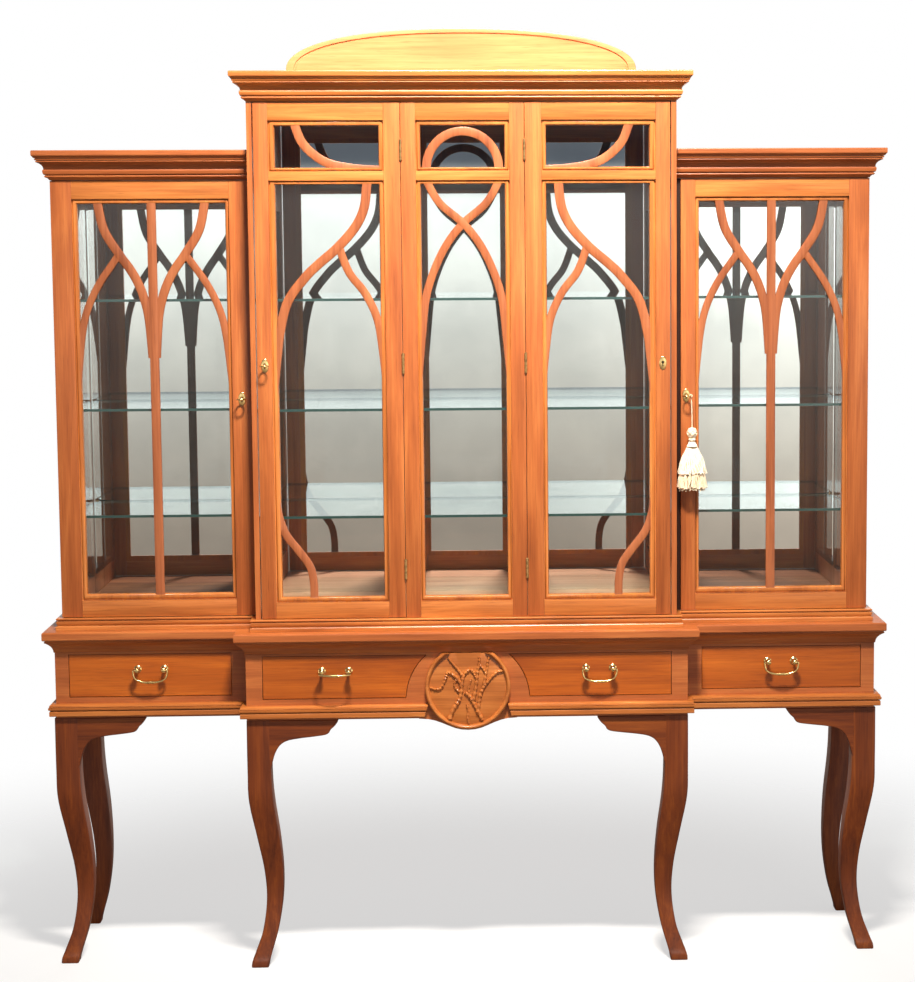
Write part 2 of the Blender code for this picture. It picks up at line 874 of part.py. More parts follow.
def stepped_outline(half, centre_half, low, side_top, centre_top):
    """A back board: wide below, narrow above the side bays."""
    return [
        (-half, low),
        (half, low),
        (half, side_top),
        (centre_half, side_top),
        (centre_half, centre_top),
        (-centre_half, centre_top),
        (-centre_half, side_top),
        (-half, side_top),
    ]


def make_backs(finish):
    half = CASE_HALF - SIDE_THICK - GAP
    outline = stepped_outline(half, CENTRE_HALF, CASE_BOTTOM, SIDE_TOP, CENTRE_TOP)
    back_front = CASE_BACK - BACK_THICK
    plate("back_panel", outline, "XZ", back_front, CASE_BACK, finish["plain_wood"])
    mirror_back = back_front - GAP
    plate("mirror", outline, "XZ", MIRROR_FACE, mirror_back, finish["mirror"])


def make_cornices(finish):
    side_levels = [(SIDE_TOP + height, out) for height, out in CORNICE_PROFILE]
    for sign, side in ((-1, "left"), (1, "right")):
        stack(f"cornice_{side}", side_cornice_outline(sign), side_levels, finish["wood"])
    centre_levels = [(CENTRE_TOP + height, out) for height, out in CORNICE_PROFILE]
    stack("cornice_centre", centre_cornice_outline, centre_levels, finish["wood"])


def make_pediment(finish):
    """The arched board on the centre cornice, a half superellipse."""
    base = CENTRE_TOP + CORNICE_HEIGHT + GAP
    steps = 28
    outline = []
    for index in range(steps + 1):
        turn = math.pi * index / steps
        across, up = math.cos(turn), math.sin(turn)
        x = PEDIMENT_HALF * math.copysign(abs(across) ** (2 / PEDIMENT_POWER), across)
        outline.append((x, base + PEDIMENT_RISE * up ** (2 / PEDIMENT_POWER)))
    front = FACE - STEP - 0.030
    return plate("pediment", outline, "XZ", front, front + PEDIMENT_THICK, finish["wood"])


# ---------------------------------------------------------------- doors
def side_fret(sign):
    """Bars of a side door's fretwork, as (points, width)."""
    middle = (OPENING_OUT + OPENING_IN) / 2
    lean = [
        (0.1205, SIDE_GLASS_TOP + 0.002),
        (0.1070, 1.6885),
        (0.0740, 1.6340),
        (0.0530, 1.6045),
        (0.0360, 1.5750),
        (0.0220, 1.5390),
        (0.0110, 1.4900),
        (0.0040, 1.4000),
    ]
    branch = [
        (0.0800, 1.6270),
        (0.0960, 1.6045),
        (0.1180, 1.5730),
        (0.1390, 1.5340),
        (0.1540, 1.4940),
        (0.1630, 1.4500),
        (0.1690, 1.4000),
    ]
    bars = [([(middle, SIDE_GLASS_BOTTOM - 0.002), (middle, SIDE_GLASS_TOP + 0.002)], 0.020)]
    for way in (-1, 1):
        bars.append(([(middle + way * x, z) for x, z in lean], 0.020))
        bars.append(([(middle + way * x, z) for x, z in branch], 0.016))
    return [([(sign * x, z) for x, z in points], width) for points, width in bars]


def centre_fret(sign):
    """Bars of a centre door's fretwork, drawn for the right-hand side."""
    main = [
        (0.2150, TRANSOM_BOTTOM + 0.002),
        (0.2220, 1.7360),
        (0.2430, 1.6920),
        (0.2830, 1.6470),
        (0.3250, 1.6110),
        (0.3560, 1.5810),
        (0.3960, 1.5270),
        (0.4150, 1.4580),
        (0.4230, 1.4000),
    ]
    branch = [
        (0.2760, 1.6380),
        (0.2570, 1.5900),
        (0.2220, 1.5440),
        (0.1960, 1.4870),
        (0.1850, 1.4200),
    ]
    foot = [
        (0.4250, 1.0400),
        (0.4090, 0.9970),
        (0.3810, 0.9600),
        (0.3570, 0.9250),
        (0.3490, 0.8900),
        (0.3480, CENTRE_GLASS_BOTTOM - 0.002),
    ]
    arch = [
        (0.3750, CENTRE_GLASS_TOP + 0.002),
        (0.3590, 1.8820),
        (0.3300, 1.8520),
        (0.2970, 1.8340),
        (0.2500, 1.8240),
        (0.2000, 1.8210),
    ]
    bars = [(main, 0.021), (branch, 0.018), (foot, 0.018), (arch, 0.020)]
    return [([(sign * x, z) for x, z in points], width) for points, width in bars]


def panel_fret():
    """Bars of the fixed panel's fretwork: two crossing curves and an arch."""
    bars = []
    for way in (-1, 1):
        crossing = [
            (-0.0800, TRANSOM_BOTTOM + 0.002),
            (-0.0520, 1.7450),
            (0.0000, 1.7000),
            (0.0360, 1.6550),
            (0.0640, 1.6000),
            (0.0850, 1.5350),
            (0.0950, 1.4500),
        ]
        bars.append(([(way * x, z) for x, z in crossing], 0.018))
    arch = []
    for index in range(9):
        turn = math.pi * index / 8
        arch.append((0.083 * math.cos(turn), TRANSOM_TOP - 0.004 + 0.085 * math.sin(turn)))
    bars.append((arch, 0.020))
    return bars


def make_frame(name, left, right, low, high, face, openings, bars, finish):
    """A door or panel frame with openings (left, right, low, high) and fretwork bars."""
    frame = box(name, (left, face, low), (right, face + DOOR_THICK, high), finish["wood"])
    for x0, x1, z0, z1 in openings:
        low_corner = (x0, face - 0.01, z0)
        high_corner = (x1, face + DOOR_THICK + 0.01, z1)
        cut(frame, box("opening", low_corner, high_corner, None))
    for number, (points, width) in enumerate(bars):
        front = face + FRET_SETBACK + number * FRET_STEP
        back = front + FRET_THICK - 2 * number * FRET_STEP
        join(frame, plate("bar", ribbon(points, width), "XZ", front, back, None))
    return frame


def make_pane(name, openings, face, finish):
    """One sheet of glass behind the fretwork, as tall as all the openings together."""
    left = min(opening[0] for opening in openings) + GAP
    right = max(opening[1] for opening in openings) - GAP
    low = min(opening[2] for opening in openings) + GAP
    high = max(opening[3] for opening in openings) - GAP
    front = face + PANE_SETBACK
    return box(name, (left, front, low), (right, front + PANE_THICK, high), finish["glass"])


def rebate(frame, openings, face):
    """Cuts the transom back so that one pane can run behind it."""
    left = min(opening[0] for opening in openings)
    right = max(opening[1] for opening in openings)
    low = min(opening[2] for opening in openings)
    high = max(opening[3] for opening in openings)
    front = face + PANE_SETBACK - GAP
    low_corner, high_corner = (left, front, low), (right, face + DOOR_THICK + 0.01, high)
    cut(frame, box("rebate", low_corner, high_corner, None))


def drill_keyhole(frame, x, z, face):
    """A round keyhole right through a door's stile."""
    profile = [(0.0, 0.06), (KEYHOLE_RADIUS, 0.06), (KEYHOLE_RADIUS, -0.02), (0.0, -0.02)]
    tool = turned("drill", profile, (x, face + 0.04, z), (x, face - 1.0, z), None, 12)
    cut(frame, tool)


def make_key(name, x, z, face, finish):
    """A key standing in its lock, its round bow lying level."""
    start = (x, face + KEY_BURIED, z)
    end = (x, face - KEY_REACH + 2 * BOW_RADIUS - 0.0025, z)
    shank = wire(name, [start, end], KEY_SHANK_RADIUS, finish["brass"], 3)
    centre = Vector((x, face - KEY_REACH + BOW_RADIUS - 0.001, z))
    builder = bmesh.new()
    around, tube = 20, 8
    bmesh.ops.create_circle(builder, segments=tube, radius=BOW_WIRE)
    bmesh.ops.rotate(builder, verts=builder.verts, matrix=Matrix.Rotation(math.pi / 2, 3, "X"))
    bmesh.ops.translate(builder, verts=builder.verts, vec=(BOW_RADIUS - BOW_WIRE, 0.0, 0.0))
    bmesh.ops.spin(
        builder,
        geom=builder.verts[:] + builder.edges[:],
        axis=(0, 0, 1),
        angle=math.tau,
        steps=around,
        use_merge=True,
        use_duplicate=False,
    )
    bmesh.ops.remove_doubles(builder, verts=builder.verts, dist=0.00001)
    bmesh.ops.recalc_face_normals(builder, faces=builder.faces)
    mesh = bpy.data.meshes.new("bow")
    builder.to_mesh(mesh)
    builder.free()
    mesh.transform(Matrix.Translation(centre))
    join(shank, add_object("bow", mesh, None))
    hang(shank, pivot(f"{name}_axis", (x, face, z)))
    return shank


def make_side_doors(finish):
    low, high = CASE_BOTTOM + DOOR_PLAY, SIDE_TOP - DOOR_PLAY
    hinge_y = FACE + DOOR_THICK + DOOR_PLAY / 2
    for sign, side, inner in ((-1, "left", LEFT_DOOR_IN), (1, "right", RIGHT_DOOR_IN)):
        left, right = sorted((sign * CASE_HALF, sign * inner))
        x0, x1 = sorted((sign * OPENING_OUT, sign * OPENING_IN))
        openings = [(x0, x1, SIDE_GLASS_BOTTOM, SIDE_GLASS_TOP)]
        name = f"door_side_{side}"
        fret = side_fret(sign)
        frame = make_frame(name, left, right, low, high, FACE, openings, fret, finish)
        rebate(frame, openings, FACE)
        drill_keyhole(frame, sign * SIDE_LOCK_X, SIDE_LOCK_Z, FACE)
        pane = make_pane(f"door_glass_side_{side}", openings, FACE, finish)
        axis = pivot(f"{name}_hinge", (sign * CASE_HALF, hinge_y, (low + high) / 2))
        hang(frame, axis)
        hang(pane, axis)
        make_key(f"key_side_{side}", sign * SIDE_LOCK_X, SIDE_LOCK_Z, FACE, finish)


def centre_openings(left, right):
    """The lower and the upper opening of a centre bay frame."""
    return [
        (left, right, CENTRE_GLASS_BOTTOM, TRANSOM_BOTTOM),
        (left, right, TRANSOM_TOP, CENTRE_GLASS_TOP),
    ]


def make_centre_doors(finish):
    low, high = CASE_BOTTOM + DOOR_PLAY, CENTRE_TOP - DOOR_PLAY
    face = FACE - STEP
    for sign, side in ((-1, "left"), (1, "right")):
        left, right = sorted((sign * CENTRE_DOOR_IN, sign * CENTRE_DOOR_OUT))
        openings = centre_openings(*sorted((sign * CENTRE_GLASS_IN, sign * CENTRE_GLASS_OUT)))
        name = f"door_centre_{side}"
        fret = centre_fret(sign)
        frame = make_frame(name, left, right, low, high, face, openings, fret, finish)
        rebate(frame, openings, face)
        drill_keyhole(frame, sign * CENTRE_LOCK_X, CENTRE_LOCK_Z, face)
        pane = make_pane(f"door_glass_centre_{side}", openings, face, finish)
        axis = pivot(f"{name}_hinge", (sign * PANEL_HALF, face - 0.002, (low + high) / 2))
        hang(frame, axis)
        hang(pane, axis)
    make_key("key_centre_left", -CENTRE_LOCK_X, CENTRE_LOCK_Z, face, finish)


def make_centre_panel(finish):
    """The fixed glazed panel between the centre doors."""
    low, high = CASE_BOTTOM, CENTRE_TOP
    face = FACE - STEP
    openings = centre_openings(-PANEL_GLASS_HALF, PANEL_GLASS_HALF)
    name = "centre_panel"
    fret = panel_fret()
    half = PANEL_HALF
    frame = make_frame(name, -half, half, low, high, face, openings, fret, finish)
    rebate(frame, openings, face)
    make_pane("panel_glass", openings, face, finish)


# ---------------------------------------------------------------- shelves
def side_shelf_outline(sign):
    """A side bay's shelf, with its outer back corner rounded."""
    inner, outer = CENTRE_HALF + 0.003, CASE_HALF - SIDE_THICK - 0.006
    front, back = FACE + DOOR_THICK + 0.006, MIRROR_FACE - 0.002
    radius = SHELF_CORNER
    plan = [(inner, front), (outer, front)]
    steps = 6
    for index in range(steps + 1):
        turn = math.pi / 2 * index / steps
        x = outer - radius + radius * math.cos(turn)
        plan.append((x, back - radius + radius * math.sin(turn)))
    plan.append((inner, back))
    return mirrored(plan, sign)


def make_shelves(finish):
    front, back = FACE - STEP + DOOR_THICK + 0.006, MIRROR_FACE - 0.002
    half = CENTRE_HALF - CENTRE_SIDE - 0.002
    for level, height in enumerate(SHELF_HEIGHTS, 1):
        top = height + SHELF_THICK
        for sign, side in ((-1, "left"), (1, "right")):
            outline = side_shelf_outline(sign)
            plate(f"shelf_{side}_{level}", outline, "XY", height, top, finish["glass"])
        low_corner, high_corner = (-half, front, height), (half, back, top)
        box(f"shelf_centre_{level}", low_corner, high_corner, finish["glass"])


# ---------------------------------------------------------------- tassel
CORD_ROUTE = (
    (0.0094, 0.0000, -0.0022),
    (0.0104, 0.0000, -0.0120),
    (0.0114, 0.0000, -0.0280),
    (0.0119, 0.0000, -0.0450),
    (0.0120, 0.0000, -0.0600),
    (0.0120, 0.0000, -0.0725),
)


def make_tassel(finish):
    """The tassel that hangs from the right-hand key, and its cord."""
    knot = Vector((SIDE_LOCK_X, FACE - KEY_REACH + BOW_RADIUS - 0.001, SIDE_LOCK_Z))
    places = [knot + Vector(step) for step in CORD_ROUTE]
    cord = wire("tassel_cord", smooth_line(places), CORD_DIAMETER / 2, finish["silk"])
    top = places[-1] - Vector((0.0, 0.0, GAP))
    radius, length = TASSEL_RADIUS, TASSEL_LENGTH
    profile = [
        (0.0, 0.0),
        (0.008, -0.001),
        (0.0125, -0.008),
        (0.0125, -0.016),
        (0.008, -0.024),
        (0.006, -0.034),
        (0.012, -0.042),
        (0.023, -0.054),
        (0.024, -0.070),
        (0.019, -0.074),
        (radius * 0.80, -0.095),
        (radius, -length + 0.012),
        (radius * 0.80, -length),
        (0.0, -length),
    ]
    end = top + Vector((0.0, 0.0, 1.0))
    tassel = turned("tassel", profile, top, end, finish["silk"], 20)
    for vert in tassel.data.vertices:
        if vert.co.z < top.z - 0.035:
            vert.co.y = top.y + (vert.co.y - top.y) * TASSEL_FLAT
    axis = pivot("tassel_axis", knot + Vector((BOW_RADIUS - BOW_WIRE, 0.0, 0.0)))
    hang(cord, axis)
    hang(tassel, axis)


# ---------------------------------------------------------------- assembly
def main():
    for old in list(bpy.data.objects):
        bpy.data.objects.remove(old)
    bpy.context.scene.collection.children.link(CABINET)
    bpy.context.scene.collection.children.link(CUTTERS)
    finish = make_materials()
    make_table_top(finish)
    make_frieze(finish)
    make_stand_case(finish)
    make_dust_board(finish)
    make_lower_mouldings(finish)
    make_medallion(finish)
    make_legs(finish)
    make_drawers(finish)
    make_floor(finish)
    make_sides(finish)
    make_partitions(finish)
    make_backs(finish)
    make_cornices(finish)
    make_pediment(finish)
    make_side_doors(finish)
    make_centre_doors(finish)
    make_centre_panel(finish)
    make_shelves(finish)
    make_tassel(finish)
    for tool in CUTTERS.objects:
        tool.hide_render = True


main()
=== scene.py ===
"""The china cabinet's looks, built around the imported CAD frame."""

import math
import random

import bmesh
import bpy
from mathutils import Matrix, Vector


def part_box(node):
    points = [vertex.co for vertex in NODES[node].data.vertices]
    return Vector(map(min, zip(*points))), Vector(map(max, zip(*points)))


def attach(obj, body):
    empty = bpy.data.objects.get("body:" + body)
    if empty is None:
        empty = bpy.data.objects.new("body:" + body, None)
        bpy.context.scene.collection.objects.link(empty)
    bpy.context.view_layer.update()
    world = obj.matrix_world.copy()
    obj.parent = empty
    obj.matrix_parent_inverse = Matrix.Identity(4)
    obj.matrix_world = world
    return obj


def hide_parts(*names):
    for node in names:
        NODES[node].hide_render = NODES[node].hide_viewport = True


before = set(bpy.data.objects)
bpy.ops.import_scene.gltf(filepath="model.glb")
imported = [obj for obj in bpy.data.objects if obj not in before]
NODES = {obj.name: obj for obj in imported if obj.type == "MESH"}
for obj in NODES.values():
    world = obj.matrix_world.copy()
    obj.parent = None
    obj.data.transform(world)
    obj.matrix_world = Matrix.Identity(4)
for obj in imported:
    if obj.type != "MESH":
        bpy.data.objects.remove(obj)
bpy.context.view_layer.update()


# ---------------------------------------------------------------- places read from the frame
def low(node):
    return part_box(node)[0]


def high(node):
    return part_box(node)[1]


STEP = 0.061  # how far the centre stands in front of the sides
FACE = low("centre_panel").y + STEP  # face of the side doors
CENTRE_FACE = FACE - STEP
DOOR_THICK = 0.020
CASE_HALF = high("side_frame_right").x
CENTRE_HALF = high("partition_right").x
CASE_BACK = high("back_panel").y
CASE_BOTTOM = low("centre_panel").z
SIDE_TOP = high("side_frame_right").z
CENTRE_TOP = high("centre_panel").z
STAND_FACE = low("frieze").y + STEP
STAND_HALF = high("frieze").x
STAND_CENTRE = 0.505
STAND_BACK = high("stand_case").y
TABLE_BACK = high("table_top").y
TABLE_TOP = high("table_top").z
FRIEZE_TOP = high("frieze").z
LEG_TOP = high("leg_front_left").z
SIDES = ((-1, "left"), (1, "right"))
BAYS = ("left", "centre", "right")
OUTWARD = (0.0, -1.0, 0.0)
LAP = 0.0002  # how far a visual face lies clear of the one behind it


# ---------------------------------------------------------------- colours and materials
def srgb(red, green, blue):
    """A screen colour as linear light."""
    return tuple(
        (c / 255 / 12.92 if c / 255 <= 0.04045 else ((c / 255 + 0.055) / 1.055) ** 2.4)
        for c in (red, green, blue)
    )


class Graph:
    """A small helper round one node tree."""

    def __init__(self, tree):
        self.tree = tree
        self.coords = None

    def add(self, kind, **values):
        made = self.tree.nodes.new("ShaderNode" + kind)
        for key, value in values.items():
            setattr(made, key, value)
        return made

    def link(self, source, target):
        self.tree.links.new(source, target)

    def put(self, socket, value):
        """Sets a socket to a number or a colour, or links another node's output to it."""
        if isinstance(value, (int, float)):
            socket.default_value = value
        elif isinstance(value, tuple):
            socket.default_value = (*value, 1.0) if socket.type == "RGBA" else value
        else:
            self.link(value, socket)

    def tinted(self, kind, colour, output):
        """A node with a plain colour, seen through the output named."""
        made = self.add(kind)
        self.put(made.inputs["Color"], colour)
        return made.outputs[output]

    def place(self, scale, shift=(0.0, 0.0, 0.0)):
        """Object coordinates, stretched."""
        if self.coords is None:
            self.coords = self.add("TexCoord")
        mapping = self.add("Mapping")
        self.put(mapping.inputs["Scale"], scale)
        self.put(mapping.inputs["Location"], shift)
        self.link(self.coords.outputs["Object"], mapping.inputs["Vector"])
        return mapping.outputs["Vector"]

    def noise(self, vector, scale, detail=2.0, rough=0.5, distortion=0.0):
        made = self.add("TexNoise")
        for key, value in (
            ("Vector", vector),
            ("Scale", scale),
            ("Detail", detail),
            ("Roughness", rough),
            ("Distortion", distortion),
        ):
            self.put(made.inputs[key], value)
        return made.outputs["Fac"]

    def ramp(self, value, stops):
        made = self.add("ValToRGB")
        ramp = made.color_ramp
        while len(ramp.elements) < len(stops):
            ramp.elements.new(0.5)
        for element, (place, colour) in zip(ramp.elements, stops):
            element.position = place
            element.color = (*colour, 1.0)
        self.link(value, made.inputs["Fac"])
        return made.outputs["Color"]

    def math(self, operation, first, second):
        made = self.add("Math", operation=operation)
        self.put(made.inputs[0], first)
        self.put(made.inputs[1], second)
        return made.outputs["Value"]

    def mix(self, factor, first, second, blend="MIX"):
        """Mixes two colours; 0, 6 and 7 are the colour sockets of Blender's Mix node."""
        made = self.add("Mix", data_type="RGBA", blend_type=blend)
        for number, value in ((0, factor), (6, first), (7, second)):
            self.put(made.inputs[number], value)
        return made.outputs[2]

    def either(self, factor, first, second):
        """Mixes two shaders."""
        made = self.add("MixShader")
        for number, value in enumerate((factor, first, second)):
            self.put(made.inputs[number], value)
        return made.outputs["Shader"]

    def spread(self, value, low_out, high_out, low_in=0.0, high_in=1.0, way="LINEAR"):
        made = self.add("MapRange", interpolation_type=way)
        for key, number in (
            ("Value", value),
            ("From Min", low_in),
            ("From Max", high_in),
            ("To Min", low_out),
            ("To Max", high_out),
        ):
            self.put(made.inputs[key], number)
        return made.outputs["Result"]


class Shader(Graph):
    """One material, with its surface node."""

    def __init__(self, name):
        self.material = bpy.data.materials.new(name)
        self.material.use_nodes = True
        super().__init__(self.material.node_tree)
        self.surface = self.tree.nodes["Principled BSDF"]
        self.out = self.tree.nodes["Material Output"]

    def bump(self, height, strength, distance):
        made = self.add("Bump")
        self.put(made.inputs["Strength"], strength)
        self.put(made.inputs["Distance"], distance)
        self.link(height, made.inputs["Height"])
        self.link(made.outputs["Normal"], self.surface.inputs["Normal"])

    def feed(self, name, value):
        self.put(self.surface.inputs[name], value)


EVEN = (1.0, 1.0, 1.0)
BLACK = (0.0, 0.0, 0.0)
WHITE = (1.0, 1.0, 1.0)
GLASS_EDGE = (0.007, 0.045, 0.040)
ALONG = {"X": (0.085, 1.0, 1.0), "Y": (1.0, 0.085, 1.0), "Z": (1.0, 1.0, 0.085)}


def wood(name, grain, dark, middle, light, shift=0.0, rough=0.33, figure=1.0, coat=0.14):
    """Varnished fruitwood: broad figure, fine streaks along the grain, and open pores."""
    made = Shader(f"{name}_{grain.lower()}")
    stretched = made.place(ALONG[grain], (shift, shift * 0.7, shift * 1.3))
    fine = tuple(value if value == 1.0 else 0.022 for value in ALONG[grain])
    pored = made.place(fine, (shift * 0.3, shift, 0.0))
    broad = made.noise(stretched, 26.0 * figure, 3.0, 0.55, 0.9)
    streak = made.noise(pored, 260.0, 4.0, 0.62)
    pore = made.noise(pored, 900.0, 2.0, 0.5)
    cloud = made.noise(made.place(EVEN, (shift, 0.0, shift)), 3.1, 2.0)
    blend = made.math("ADD", made.math("MULTIPLY", broad, 0.62), made.math("MULTIPLY", streak, 0.38))
    base = made.ramp(blend, ((0.30, dark), (0.50, middle), (0.72, light)))
    shade = made.spread(cloud, 0.86, 1.10, 0.3, 0.7)
    base = made.mix(1.0, base, made.ramp(shade, ((0.0, BLACK), (1.0, WHITE))), "MULTIPLY")
    pits = made.spread(pore, 0.0, 1.0, 0.60, 0.72)
    base = made.mix(made.math("MULTIPLY", pits, 0.42), base, tuple(c * 0.45 for c in dark))
    made.feed("Base Color", base)
    made.feed("Roughness", made.spread(blend, rough + 0.07, rough - 0.06, 0.3, 0.7))
    made.feed("Coat Weight", coat)
    made.feed("Coat Roughness", 0.20)
    made.feed("Specular IOR Level", 0.34)
    made.bump(made.math("SUBTRACT", streak, made.math("MULTIPLY", pits, 0.8)), 0.16, 0.0006)
    return made.material


def metal(name, colour, rough, mottle=0.12):
    """Metal with faint tarnish."""
    made = Shader(name)
    cloud = made.noise(made.place(EVEN), 160.0, 3.0, 0.6)
    worn = made.ramp(cloud, ((0.35, tuple(c * (1 - mottle * 2) for c in colour)), (0.60, colour)))
    made.feed("Base Color", worn)
    made.feed("Metallic", 1.0)
    made.feed("Roughness", made.spread(cloud, rough + 0.10, rough - 0.04, 0.3, 0.7))
    made.bump(cloud, 0.05, 0.0004)
    return made.material


def clear_glass(name, tint, edge_axis=None, index=1.5):
    """Float glass that lets light through; across edge_axis the cut edges show green."""
    made = Shader(name)
    see = made.tinted("BsdfTransparent", tint, "BSDF")
    shine = made.add("BsdfGlossy")
    shine.inputs["Roughness"].default_value = 0.015
    haze = made.noise(made.place(EVEN), 5.0, 2.0)
    made.link(made.ramp(haze, ((0.3, (0.90, 0.93, 0.93)), (0.7, WHITE))), shine.inputs["Color"])
    fresnel = made.add("Fresnel")
    fresnel.inputs["IOR"].default_value = index
    sides = made.add("NewGeometry")
    outer = made.math("SUBTRACT", 1.0, sides.outputs["Backfacing"])
    share = made.math("MULTIPLY", fresnel.outputs["Fac"], outer)
    result = made.either(share, see, shine.outputs["BSDF"])
    if edge_axis:
        split = made.add("SeparateXYZ")
        made.link(sides.outputs["Normal"], split.inputs["Vector"])
        flat = made.math("ABSOLUTE", split.outputs[edge_axis], 0.0)
        side = made.math("LESS_THAN", flat, 0.5)
        made.feed("Base Color", GLASS_EDGE)
        made.feed("Roughness", 0.12)
        made.feed("Specular IOR Level", 0.7)
        result = made.either(side, result, made.surface.outputs["BSDF"])
    else:
        made.tree.nodes.remove(made.surface)
    made.link(result, made.out.inputs["Surface"])
    return made.material


def silvered(name):
    """Plate mirror with the faintest haze."""
    made = Shader(name)
    haze = made.noise(made.place(EVEN), 6.0, 4.0)
    made.feed("Base Color", made.ramp(haze, ((0.3, srgb(208, 212, 214)), (0.7, srgb(226, 229, 230)))))
    made.feed("Metallic", 1.0)
    made.feed("Roughness", made.spread(haze, 0.010, 0.028))
    return made.material


def silk(name, colour, shadow):
    """Glossy thread."""
    made = Shader(name)
    strand = made.noise(made.place((1.0, 1.0, 0.12)), 900.0, 3.0, 0.6)
    made.feed("Base Color", made.ramp(strand, ((0.35, shadow), (0.60, colour))))
    made.feed("Roughness", 0.55)
    made.feed("Sheen Weight", 0.35)
    made.feed("Sheen Roughness", 0.4)
    made.bump(strand, 0.35, 0.0006)
    return made.material


CASE_TONES = (srgb(140, 70, 33), srgb(176, 95, 47), srgb(204, 122, 64))
RAIL_TONES = (srgb(148, 78, 32), srgb(188, 108, 49), srgb(218, 138, 70))
LIGHT_TONES = (srgb(182, 106, 58), srgb(214, 138, 84), srgb(232, 160, 106))
# darker than the case wood: partly the legs' own tone, partly painted shade for the dimmer light low on the
# stand
LEG_TONES_WITH_SHADE = (srgb(72, 27, 8), srgb(116, 52, 17), srgb(152, 78, 27))
FRET_TONES = (srgb(124, 62, 34), srgb(164, 92, 54), srgb(186, 113, 71))
INNER_TONES = (srgb(104, 54, 28), srgb(150, 84, 46), srgb(178, 108, 62))
# pale tones for the centre bay's floor: painted light falling onto it
PAINTED_LIGHT_FLOOR_TONES = (srgb(186, 122, 90), srgb(226, 162, 128), srgb(244, 190, 154))
DRAWER_TONES = (srgb(136, 60, 15), srgb(176, 86, 22), srgb(206, 110, 34))
# near-black tones: painted shade for the gap beside the right side door
PAINTED_SHADE_TONES = (srgb(34, 14, 6), srgb(52, 24, 12), srgb(70, 34, 18))

CASE_Z = wood("case_wood", "Z", *CASE_TONES)
CASE_X = wood("case_wood", "X", *CASE_TONES, shift=2.3)
CASE_Y = wood("case_wood", "Y", *CASE_TONES, shift=4.1)
RAIL_X = wood("rail_wood", "X", *RAIL_TONES, shift=5.7)
BEAD_Z = wood("bead_wood", "Z", *RAIL_TONES, shift=6.1, rough=0.28)
LIGHT_X = wood("pediment_wood", "X", *LIGHT_TONES, shift=7.9, figure=0.7)
LEG_Z = wood("leg_wood", "Z", *LEG_TONES_WITH_SHADE, shift=9.2, rough=0.46, coat=0.02)
LEG_X = wood("ear_wood", "X", *LEG_TONES_WITH_SHADE, shift=3.3, rough=0.46, coat=0.02)
FRET_Z = wood("fret_wood", "Z", *FRET_TONES, shift=1.4, rough=0.36)
INNER_X = wood("inner_wood", "X", *INNER_TONES, shift=8.4, rough=0.52)
INNER_Z = wood("back_wood", "Z", *INNER_TONES, shift=8.9, rough=0.52)
PAINTED_LIGHT_FLOOR_X = wood("painted_light_floor_wood", "X", *PAINTED_LIGHT_FLOOR_TONES, shift=6.1, rough=0.40, coat=0.1)
PAINTED_SHADE_Z = wood("painted_shade_wood", "Z", *PAINTED_SHADE_TONES, shift=2.9, rough=0.6, coat=0.0)
DRAWER_X = wood("drawer_wood", "X", *DRAWER_TONES, shift=3.8, figure=0.8)
BRASS = metal("polished_brass", (0.86, 0.62, 0.26), 0.20)
OLD_BRASS = metal("hinge_brass", (0.55, 0.34, 0.14), 0.34, 0.25)
# near-black metal: painted shade inside the keyholes
KEYHOLE_SHADE = metal("keyhole_painted_shade", (0.03, 0.022, 0.016), 0.6)
PANE = clear_glass("pane_glass", (0.955, 0.97, 0.965))
SHELF = clear_glass("shelf_glass", (0.94, 0.985, 0.97), "Z", 2.1)
MIRROR = silvered("back_mirror")
SILK = silk("tassel_thread", srgb(250, 232, 204), srgb(214, 180, 134))
SILK_PALE = silk("tassel_thread_pale", srgb(255, 246, 228), srgb(230, 204, 164))


# ---------------------------------------------------------------- pieces
def settle(name, builder, finish, body, replaces=(), angle=35.0):
    """Makes a bmesh into a piece that rides a body."""
    bmesh.ops.remove_doubles(builder, verts=builder.verts, dist=0.000005)
    bmesh.ops.recalc_face_normals(builder, faces=builder.faces)
    mesh = bpy.data.meshes.new(name)
    builder.to_mesh(mesh)
    builder.free()
    mesh.materials.append(finish)
    mesh.shade_smooth()
    mesh.set_sharp_from_angle(angle=math.radians(angle))
    made = bpy.data.objects.new(name, mesh)
    bpy.context.scene.collection.objects.link(made)
    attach(made, body)
    if replaces:
        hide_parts(*replaces)
    return made


def loft(builder, loops, wrap=False, caps=True):
    """Skins closed loops of equal length, in order."""
    rows = [[builder.verts.new(point) for point in loop] for loop in loops]
    pairs = list(zip(rows, rows[1:]))
    if wrap:
        pairs.append((rows[-1], rows[0]))
    for first, second in pairs:
        count = len(first)
        for index in range(count):
            after = (index + 1) % count
            builder.faces.new((first[index], first[after], second[after], second[index]))
    if caps and not wrap:
        builder.faces.new(rows[0])
        builder.faces.new(rows[-1])


def add_box(builder, corner, other, bevel=0.0012, segments=2):
    """A board with softened edges."""
    lo = Vector([min(a, b) for a, b in zip(corner, other)])
    hi = Vector([max(a, b) for a, b in zip(corner, other)])
    made = bmesh.ops.create_cube(builder, size=1.0)["verts"]
    bmesh.ops.scale(builder, vec=hi - lo, verts=made)
    bmesh.ops.translate(builder, vec=(lo + hi) / 2, verts=made)
    if bevel:
        edges = list({edge for vert in made for edge in vert.link_edges})
        bmesh.ops.bevel(
            builder, geom=edges, offset=bevel, segments=segments, profile=0.6, affect="EDGES"
        )


def skin(name, loops, finish, body, replaces=(), angle=35.0):
    """One piece lofted through closed loops."""
    builder = bmesh.new()
    loft(builder, loops)
    return settle(name, builder, finish, body, replaces, angle)


